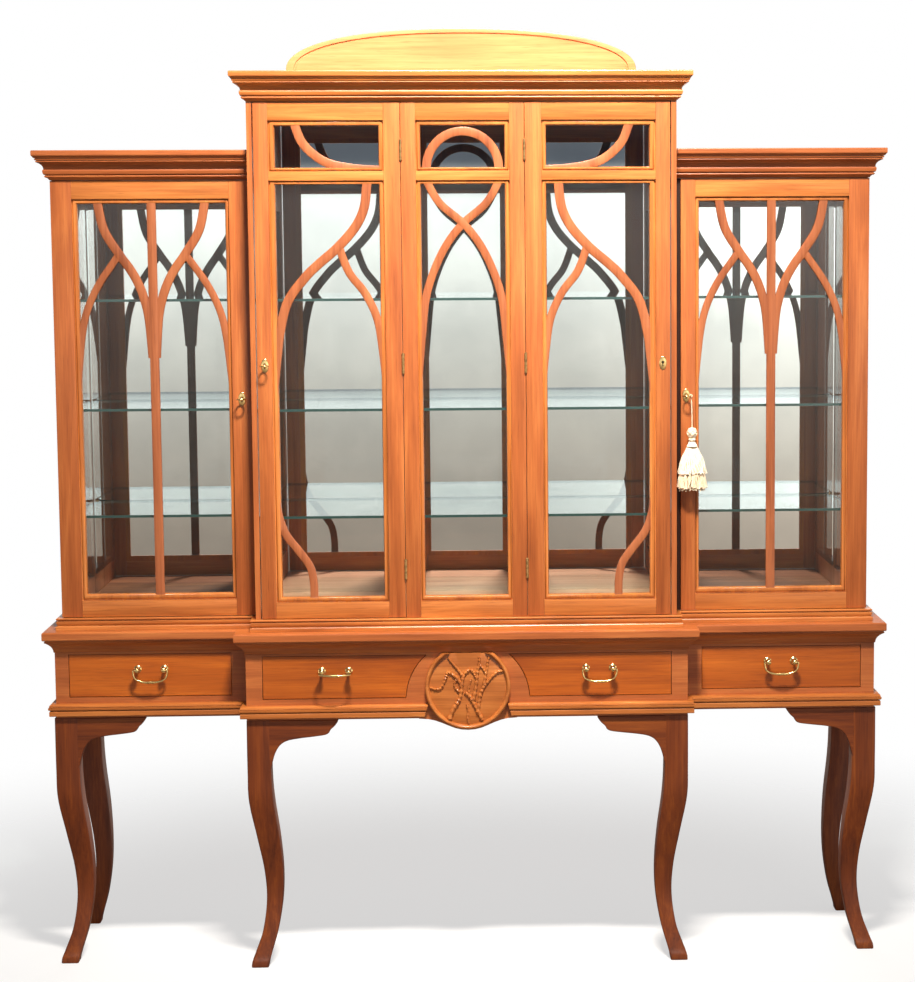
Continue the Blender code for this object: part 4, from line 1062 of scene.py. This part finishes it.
def make_fretwork(name, body, face, bars, openings, sign):
    """Curved bars in front of the glass; each lies a hair behind the one before."""
    builder = bmesh.new()
    for number, (points, width, way, shift, pane) in enumerate(bars):
        front = face + 0.0040 + number * 0.00025
        line = [(sign * (shift + way * x), z) for x, z in points]
        bar = bmesh.new()
        add_bar(bar, line, width, front, face + 0.0110 - number * 0.0001)
        clipped(bar, turned_over(openings[pane], sign))
        loose = bpy.data.meshes.new("bar")
        bar.to_mesh(loose)
        bar.free()
        builder.from_mesh(loose)
        bpy.data.meshes.remove(loose)
    settle(f"{name}_fretwork", builder, FRET_Z, body, (), 40.0)


LOCK_RINGS = (
    # share of the plate's size, distance out from the door
    (1.0, 0.0), (1.0, 0.0006), (0.94, 0.0013), (0.86, 0.0015), (0.45, 0.0019), (0.42, 0.0012),
)
LOCK_WIDE, LOCK_TALL = 0.0085, 0.0155
KEY_SHANK = (
    (0.0001, -0.0115), (0.0022, -0.0115), (0.0024, -0.0110), (0.0024, 0.0030), (0.0036, 0.0034),
    (0.0036, 0.0048), (0.0026, 0.0054), (0.0024, 0.0072), (0.0034, 0.0080), (0.0034, 0.0092),
    (0.0022, 0.0104), (0.0001, 0.0108),
)
KEY_X, KEY_Z = 0.5085, 1.305
CENTRE_KEY_X, CENTRE_KEY_Z = 0.450, 1.383
BOW_OUT = 0.0200  # from the door's face to the middle of the bow
BOW_RADIUS = 0.0094


def make_lock(name, body, x, z, face):
    """An oval brass plate with a keyhole, painted as a near-black inlay of shade."""
    loops = []
    for share, out in LOCK_RINGS:
        wide, tall = LOCK_WIDE * share, LOCK_TALL * share
        loops.append([(x + wide * c, face - out, z + tall * s) for c, s in circle(36)])
    skin(f"{name}_plate", loops, BRASS, body, (), 40.0)
    builder = bmesh.new()
    # the keyhole is a near-black shape on the plate, painted shade for the hole
    hole = ((0.0001, 0.0010), (0.0030, 0.0010), (0.0030, 0.0016), (0.0001, 0.0016))
    add_turned(builder, hole, (x, face, z + 0.002), OUTWARD, 16)
    add_box(builder, (x - 0.0012, face - 0.0016, z - 0.0075), (x + 0.0012, face - 0.0010, z + 0.001), 0.0)
    settle(f"{name}_hole", builder, KEYHOLE_SHADE, body)


def make_key(name, x, z, face):
    """A key standing in its lock: collared shank and a level bow, pinched on one side."""
    builder = bmesh.new()
    add_turned(builder, KEY_SHANK, (x, face, z), OUTWARD, 16)
    middle = Vector((x, face - BOW_OUT, z))
    spots = []
    for c, s in circle(32):
        pinch = 1.0 - 0.10 * s * (s > 0)
        out = Vector((BOW_RADIUS * c * pinch, BOW_RADIUS * s, 0.0))
        spots.append((middle + out, out.normalized()))
    add_ring(builder, spots, 0.0017, 0.0015, 10)
    settle(f"{name}_turned", builder, BRASS, name, (name,), 60.0)


SIDE_HINGE_BACK = 0.0205
SIDE_HINGES = (0.917, 1.303, 1.690)
CENTRE_HINGE_X = 0.1385
CENTRE_HINGE_OUT = 0.002
CENTRE_HINGES = (0.917, 1.386, 1.864)
KNUCKLE, HINGE_LONG = 0.0034, 0.045  # radius of a knuckle, and length of the three together


def make_hinges(body, x, y, heights):
    """Butt hinge knuckles with small tips, on the joint's own axis."""
    half, neck, tip = HINGE_LONG / 2, KNUCKLE * 0.62, KNUCKLE * 0.55
    profile = [(0.0001, -half - 0.0022), (tip, -half - 0.0016), (neck, -half)]
    for cut in (-0.5, -0.167, 0.167):
        start = cut * HINGE_LONG
        end = start + HINGE_LONG / 3
        profile += [(KNUCKLE, start + 0.0004), (KNUCKLE, end - 0.0004), (KNUCKLE * 0.86, end)]
    profile += [(neck, half), (tip, half + 0.0016), (0.0001, half + 0.0022)]
    builder = bmesh.new()
    for z in heights:
        add_turned(builder, profile, (x, y, z), (0.0, 0.0, 1.0), 14)
    settle(f"{body}_hinges", builder, OLD_BRASS, body, (), 40.0)


def make_doors():
    middle = (SIDE_OPEN[1] + SIDE_OPEN[0]) / 2
    for sign, side in SIDES:
        body = f"door_side_{side}"
        make_door_frame(body, body, body, FACE, [SIDE_FLAT], [SIDE_OPEN], sign)
        bars = [(SIDE_POST, 0.0205, 1, middle, 0)]
        for way in (-1, 1):
            bars.append((SIDE_LEAN, 0.0200, way, middle, 0))
            bars.append((SIDE_BRANCH, 0.0165, way, middle, 0))
        make_fretwork(body, body, FACE, bars, [SIDE_OPEN], sign)
        make_lock(f"lock_side_{side}", body, sign * KEY_X, KEY_Z, FACE)
        make_hinges(body, sign * CASE_HALF, FACE + SIDE_HINGE_BACK, SIDE_HINGES)
        body = f"door_centre_{side}"
        make_door_frame(body, body, body, CENTRE_FACE, CENTRE_FLAT, CENTRE_OPEN, sign)
        bars = [
            (CENTRE_MAIN, 0.0210, 1, 0.0, 0),
            (CENTRE_BRANCH, 0.0180, 1, 0.0, 0),
            (CENTRE_FOOT, 0.0180, 1, 0.0, 0),
            (CENTRE_ARCH, 0.0200, 1, 0.0, 1),
        ]
        make_fretwork(body, body, CENTRE_FACE, bars, CENTRE_OPEN, sign)
        make_lock(f"lock_centre_{side}", body, sign * CENTRE_KEY_X, CENTRE_KEY_Z, CENTRE_FACE)
        make_hinges(body, sign * CENTRE_HINGE_X, CENTRE_FACE - CENTRE_HINGE_OUT, CENTRE_HINGES)
    make_key("key_side_left", -KEY_X, KEY_Z, FACE)
    make_key("key_side_right", KEY_X, KEY_Z, FACE)
    make_key("key_centre_left", -CENTRE_KEY_X, CENTRE_KEY_Z, CENTRE_FACE)
    make_door_frame("centre_panel_frame", "cabinet", "centre_panel", CENTRE_FACE, PANEL_FLAT, PANEL_OPEN, 1)
    turns = [math.pi * index / 12 for index in range(13)]
    half_ring = [(0.0815 * math.cos(turn), 1.8220 + 0.0835 * math.sin(turn)) for turn in turns]
    bars = [
        (PANEL_CROSS, 0.0180, 1, 0.0, 0),
        (PANEL_CROSS, 0.0180, -1, 0.0, 0),
        (half_ring, 0.0200, 1, 0.0, 1),
    ]
    make_fretwork("centre_panel", "cabinet", CENTRE_FACE, bars, PANEL_OPEN, 1)


# ---------------------------------------------------------------- case
CENTRE_INNER = 0.4695  # inner face of the partitions
FILLER_END = 0.4957
BATTENS = [(0.851, 0.911), (0.451, 0.511)]
BATTEN_TOP = 1.80
BATTEN_DEEP = 0.006
FOOT_BATTEN, HEAD_BATTEN = 0.07, 1.735  # the foot rail's height, and where the head rail starts
SHELF_LEVELS = (1, 2, 3)
PEG = (
    (0.0001, 0.0), (0.0036, 0.0), (0.0036, 0.0012), (0.0023, 0.0016), (0.0023, 0.0090),
    (0.0018, 0.0096), (0.0001, 0.0096),
)


def lay_floor():
    """A thin polished board over the floor of each bay; the middle one is the palest, its pale tones
    painted light falling into the centre bay.
    """
    level = CASE_BOTTOM + 0.0001
    rear = low("mirror").y - 0.001
    side_front = FACE + 0.026
    centre_front = CENTRE_FACE + 0.026
    inner, outer = CENTRE_HALF + 0.0012, CASE_HALF - 0.0195
    centre = CENTRE_INNER - 0.001
    spans = (
        ("left", -outer, -inner, side_front, INNER_X),
        ("centre", -centre, centre, centre_front, PAINTED_LIGHT_FLOOR_X),
        ("right", inner, outer, side_front, INNER_X),
    )
    for bay, start, end, front, finish in spans:
        corner, other = (start, front, level - 0.0006), (end, rear, level + 0.0010)
        board(f"bay_floor_{bay}", corner, other, finish, "cabinet", 0.0003)


def paint(nodes, finish):
    """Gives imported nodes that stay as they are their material."""
    for node in nodes:
        NODES[node].data.materials[0] = finish


def make_back():
    """Battens over the back panel: four upright, and a rail at the foot and head of each panel."""
    back, face, bottom = CASE_BACK, CASE_BACK + BATTEN_DEEP, CASE_BOTTOM
    uprights = [pair for x0, x1 in BATTENS for pair in ((-x1, -x0), (x0, x1))]
    stiles = [((x0, back, bottom), (x1, face, BATTEN_TOP)) for x0, x1 in uprights]
    boards("back_stiles", stiles, INNER_Z, "cabinet")
    (inner, near), (far, _) = BATTENS[1], BATTENS[0]
    rails = []
    for left, right in ((-far, -near), (-inner, inner), (near, far)):
        rails.append(((left, back, bottom), (right, face, bottom + FOOT_BATTEN)))
        rails.append(((left, back, HEAD_BATTEN), (right, face, BATTEN_TOP)))
    boards("back_rails", rails, INNER_X, "cabinet")


def make_pegs():
    """The pins that carry the glass shelves."""
    builder = bmesh.new()
    for bay, inner, outer in (
        ("right", CENTRE_HALF, CASE_HALF - 0.018),
        ("centre", -CENTRE_INNER, CENTRE_INNER),
    ):
        for level in SHELF_LEVELS:
            lo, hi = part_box(f"shelf_{bay}_{level}")
            for y in (lo.y + 0.045, hi.y - 0.070):
                for sign in (-1, 1) if bay == "right" else (1,):
                    for wall, way in ((inner, 1.0), (outer, -1.0)):
                        start = (sign * wall, y, lo.z - 0.0024)
                        add_turned(builder, PEG, start, (sign * way, 0.0, 0.0), 12)
    settle("shelf_pegs", builder, OLD_BRASS, "cabinet", (), 40.0)


def make_case():
    for _, side in SIDES:
        paint((f"side_frame_{side}", f"partition_{side}"), CASE_Z)
        glass = ("side_glass", "partition_glass", "door_glass_side", "door_glass_centre")
        paint([f"{kind}_{side}" for kind in glass], PANE)
    paint(("panel_glass",), PANE)
    paint([f"shelf_{bay}_{level}" for bay in BAYS for level in SHELF_LEVELS], SHELF)
    paint(("mirror",), MIRROR)
    paint(("back_panel",), INNER_Z)
    lay_floor()
    # the filler strip is painted near-black as the shade in the gap between the centre case and the right
    # side door
    corner = (CENTRE_HALF + 0.0004, FACE + 0.006, CASE_BOTTOM + 0.001)
    other = (FILLER_END, FACE + 0.024, SIDE_TOP - 0.0005)
    board("filler_strip", corner, other, PAINTED_SHADE_Z, "cabinet", 0.0005)
    cornice_top, wall_back = high("cornice_left").z, high("partition_left").y
    for sign, side in SIDES:
        corner = (sign * (CENTRE_HALF + 0.0001), wall_back - 0.006, cornice_top)
        other = (sign * (CENTRE_HALF + 0.0018), CASE_BACK, CENTRE_TOP)
        board(f"back_edge_{side}", corner, other, CASE_Z, "cabinet", 0.0004)
    make_back()
    make_pegs()


# ---------------------------------------------------------------- tassel
CORD_ROUTE = (
    (0.0094, 0.0000, -0.0022), (0.0104, 0.0000, -0.0120), (0.0114, 0.0000, -0.0280),
    (0.0119, 0.0000, -0.0450), (0.0120, 0.0000, -0.0600), (0.0120, 0.0000, -0.0725),
)
CORD_CORE = (-0.0900, -0.1150, -0.1400, -0.1700)  # heights where it runs on inside the tassel
CORD_SIZE = 0.0024
FLAT = 0.52  # depth of the fringe as a share of its width
HEAD_FLAT = 0.86
HEAD = (
    (0.0002, 0.0002), (0.0030, -0.0004), (0.0060, -0.0016), (0.0084, -0.0040), (0.0078, -0.0058),
    (0.0098, -0.0080), (0.0110, -0.0120), (0.0110, -0.0160), (0.0096, -0.0200), (0.0074, -0.0236),
    (0.0066, -0.0250), (0.0084, -0.0264), (0.0088, -0.0282), (0.0076, -0.0300), (0.0060, -0.0314),
    (0.0062, -0.0345), (0.0090, -0.0385), (0.0130, -0.0430), (0.0001, -0.0432),
)
TIERS = (
    # name, strands, start radius, start height, end radius, end height, thickness, steps, flare, finish
    ("ruff", 84, 0.0062, -0.0320, 0.0200, -0.0660, 0.00105, 8, 1.00, SILK_PALE),
    ("fringe_upper", 38, 0.0185, -0.0610, 0.0328, -0.1075, 0.00215, 26, 0.62, SILK_PALE),
    ("fringe_outer", 46, 0.0175, -0.0640, 0.0336, -0.1405, 0.00215, 26, 0.62, SILK),
    ("fringe_inner", 60, 0.0100, -0.0640, 0.0290, -0.1470, 0.00125, 8, 0.62, SILK),
)
BANDS = (
    # height, radius, thickness, depth as a share of its width
    (-0.0262, 0.0075, 0.0012, HEAD_FLAT),
    (-0.0295, 0.0070, 0.0010, HEAD_FLAT),
    (-0.0600, 0.0186, 0.0018, FLAT),
    (-0.0634, 0.0200, 0.0015, FLAT),
)


def settle_silk(name, builder, finish, replaces=()):
    return settle(f"tassel_{name}", builder, finish, "tassel", replaces, 60.0)


def make_net(top):
    """The net over the head: six cords each way round."""
    builder = bmesh.new()
    for way in (-1, 1):
        for start in range(6):
            strand = []
            for step in range(13):
                share = step / 12
                height = -0.0012 - 0.0225 * share
                radius = 0.0112 * math.sin(math.pi * (0.18 + 0.64 * share)) + 0.0006
                turn = math.tau * start / 6 + way * share * 2.1
                across, deep = radius * math.cos(turn), radius * HEAD_FLAT * math.sin(turn)
                strand.append(top + Vector((across, deep, height)))
            add_tube(builder, strand, 0.0008, 6)
    return settle_silk("net", builder, SILK)


def make_tier(top, rng, name, count, r0, z0, r1, z1, thick, steps, flare, finish):
    """One tier of separate strands; the thick ones are twisted."""
    builder = bmesh.new()
    for index in range(count):
        turn = math.tau * (index + rng.uniform(-0.3, 0.3)) / count
        spread = rng.uniform(0.90, 1.04)
        drop = rng.uniform(0.965, 1.0)
        lean = rng.uniform(-0.05, 0.05)
        strand, radii = [], []
        for step in range(steps + 1):
            share = step / steps
            radius = r0 + (r1 * spread - r0) * share**flare
            height = z0 + (z1 * drop - z0) * share
            swirl = turn + lean * share + 0.05 * math.sin(share * 9 + index)
            strand.append(top + Vector((radius * math.cos(swirl), radius * FLAT * math.sin(swirl), height)))
            ply = 1.0 if steps == 8 else 1.0 + 0.20 * (-1) ** step
            radii.append(thick * (0.8 + 0.35 * share) * ply)
        add_tube(builder, strand, radii, 5)
    return settle_silk(name, builder, finish, ("tassel",) if name == "ruff" else ())


def make_tassel():
    """Two-ply cord, netted head, ruff and a fringe of separate strands."""
    knot = Vector((KEY_X, FACE - BOW_OUT, KEY_Z))
    route = [knot + Vector(step) for step in CORD_ROUTE]
    top = route[-1]
    inside = [Vector((top.x, top.y, knot.z + height)) for height in CORD_CORE]
    line = [Vector(point) for point in smooth([tuple(point) for point in route + inside], 8)]
    builder = bmesh.new()
    add_tube(builder, line, CORD_SIZE / 2, 10)
    cord = settle_silk("cord_line", builder, SILK, ("tassel_cord", "tassel"))
    builder = bmesh.new()
    centre = knot + Vector((BOW_RADIUS, 0.0, 0.0))
    loop = [centre + Vector((0.0031 * s * 0.9, 0.0, 0.0031 * c)) for c, s in circle(18)]
    add_tube(builder, loop + loop[:1], 0.0011, 8)
    parts = [settle_silk("hitch", builder, SILK)]
    builder = bmesh.new()
    add_turned(builder, HEAD, top, (0.0, 0.0, 1.0), 28, HEAD_FLAT)
    parts.append(settle_silk("head", builder, SILK_PALE))
    parts.append(make_net(top))
    rng = random.Random(5)
    for tier in TIERS:
        parts.append(make_tier(top, rng, *tier))
    builder = bmesh.new()
    for height, radius, thick, flat in BANDS:
        outs = [Vector((c, flat * s, 0.0)) for c, s in circle(30)]
        spots = [(top + out * radius + Vector((0.0, 0.0, height)), out) for out in outs]
        add_ring(builder, spots, thick, thick, 7)
    parts.append(settle_silk("bands", builder, SILK))


# ---------------------------------------------------------------- studio
def area(name, place, target, size, power, colour):
    light = bpy.data.lights.new(name, "AREA")
    light.shape = "RECTANGLE"
    light.size, light.size_y = size
    light.energy = power
    light.color = colour
    made = bpy.data.objects.new(name, light)
    made.location = place
    aim = Vector(target) - Vector(place)
    made.rotation_euler = aim.to_track_quat("-Z", "Y").to_euler()
    bpy.context.scene.collection.objects.link(made)
    return made


FLOOR_PALE = (0.92, 0.91, 0.90)
FLOOR_GLOW = 0.55
FADE_NEAR, FADE_FAR = 0.9, 2.6


def fading_floor():
    """A pale floor that melts into the white surround, and throws little light back up."""
    made = Shader("pale_floor")
    cloud = made.noise(made.place(EVEN), 0.6, 2.0)
    darker = tuple(c * 0.985 for c in FLOOR_PALE)
    made.feed("Base Color", made.ramp(cloud, ((0.3, darker), (0.7, FLOOR_PALE))))
    made.feed("Roughness", 0.9)
    glow = made.tinted("Emission", (1.0, 0.995, 0.99), "Emission")
    lit = made.either(FLOOR_GLOW, made.surface.outputs["BSDF"], glow)
    dull = made.tinted("BsdfDiffuse", (0.26, 0.23, 0.20), "BSDF")
    seen = made.either(made.add("LightPath").outputs["Is Camera Ray"], dull, lit)
    away = made.add("VectorMath", operation="LENGTH")
    made.link(made.coords.outputs["Object"], away.inputs[0])
    fade = made.spread(away.outputs["Value"], 0.0, 1.0, FADE_NEAR, FADE_FAR, "SMOOTHSTEP")
    clear = made.add("BsdfTransparent").outputs["BSDF"]
    made.link(made.either(fade, seen, clear), made.out.inputs["Surface"])
    return made.material


ROOM = (
    # height of the direction (its z), colour of the soft room there
    (-1.000, (0.12, 0.11, 0.10)),
    (-0.150, (0.40, 0.31, 0.25)),
    (-0.110, (0.54, 0.43, 0.35)),
    (-0.066, (0.84, 0.75, 0.66)),
    (-0.030, (1.15, 1.08, 0.99)),
    (0.000, (1.60, 1.55, 1.45)),
    (0.026, (1.80, 1.76, 1.68)),
    (0.036, (0.16, 0.17, 0.20)),
    (0.053, (0.17, 0.18, 0.21)),
    (0.062, (1.55, 1.58, 1.55)),
    (0.125, (1.50, 1.54, 1.50)),
    (0.190, (0.18, 0.18, 0.18)),
    (1.000, (0.22, 0.22, 0.22)),
)


def make_world():
    """White to the eye; a soft warm room, dark overhead, to everything that reflects it."""
    world = bpy.data.worlds.new("studio")
    bpy.context.scene.world = world
    world.use_nodes = True
    world.node_tree.nodes.clear()
    made = Graph(world.node_tree)
    path = made.add("LightPath")
    split = made.add("SeparateXYZ")
    made.link(made.add("TexCoord").outputs["Generated"], split.inputs["Vector"])
    room = made.add("Background")
    level = made.spread(split.outputs["Z"], 0.0, 1.0, -1.0, 1.0)
    stops = [((height + 1.0) / 2.0, colour) for height, colour in ROOM]
    made.link(made.ramp(level, stops), room.inputs["Color"])
    window = made.spread(split.outputs["X"], 1.0, 1.7, 0.04, 0.15)
    soft = made.spread(path.outputs["Is Diffuse Ray"], 1.0, 0.5)
    made.link(made.math("MULTIPLY", window, soft), room.inputs["Strength"])
    seen = made.tinted("Background", WHITE, "Background")
    both = made.either(path.outputs["Is Camera Ray"], room.outputs["Background"], seen)
    made.link(both, made.add("OutputWorld").inputs["Surface"])


def make_studio():
    far = 6.0
    corners = [(-far, -far, 0), (far, -far, 0), (far, far, 0), (-far, far, 0)]
    mesh = bpy.data.meshes.new("floor")
    mesh.from_pydata(corners, [], [(0, 1, 2, 3)])
    mesh.materials.append(fading_floor())
    floor = bpy.data.objects.new("floor", mesh)
    bpy.context.scene.collection.objects.link(floor)
    make_world()
    key = area("key_light", (0.18, -1.95, 4.0), (0.06, -0.1, 1.6), (0.6, 0.3), 49.0, (1.0, 0.95, 0.88))
    key.data.spread = math.radians(66)
    fill = area("fill_light", (1.5, -4.2, 3.4), (0.0, 0.0, 1.2), (2.2, 1.2), 12.0, (1.0, 0.98, 0.96))
    fill.visible_glossy = False
    area("back_light", (0.0, 4.5, 3.0), (0.0, 0.0, 1.2), (3.0, 2.0), 60.0, WHITE)


LENS = 86.455  # millimetres, on a frame 36 mm wide
CAMERA_SHIFT = (-0.12, 0.0198)
CAMERA_TURN = (0.04442, 0.1081, 0.00525)  # yaw, pitch and roll
CAMERA_PLACE = (0.0115, FACE - 5.41002, 1.62907)


def make_camera():
    """The photograph's place and direction, with part of its sideways shift."""
    camera = bpy.data.cameras.new("camera")
    camera.sensor_width = 36.0
    camera.lens = LENS
    camera.shift_x, camera.shift_y = CAMERA_SHIFT
    camera.clip_start = 0.05
    camera.clip_end = 100.0
    made = bpy.data.objects.new("camera", camera)
    yaw, pitch, roll = CAMERA_TURN
    ahead = Vector((math.sin(yaw) * math.cos(pitch), math.cos(yaw) * math.cos(pitch), -math.sin(pitch)))
    right = Vector((math.cos(yaw), -math.sin(yaw), 0.0))
    up = right.cross(ahead)
    right, up = (
        right * math.cos(roll) - up * math.sin(roll),
        right * math.sin(roll) + up * math.cos(roll),
    )
    matrix = Matrix((right, up, -ahead)).transposed().to_4x4()
    matrix.translation = Vector(CAMERA_PLACE)
    made.matrix_world = matrix
    bpy.context.scene.collection.objects.link(made)
    bpy.context.scene.camera = made


bpy.context.scene.view_settings.view_transform = "Standard"
make_stand()
make_medallion()
make_legs()
for drawer_kind in ("side", "centre"):
    for drawer_sign, drawer_side in SIDES:
        make_drawer(drawer_kind, drawer_sign, drawer_side)
make_cornices()
make_pediment()
make_doors()
make_case()
make_tassel()
make_studio()
make_camera()
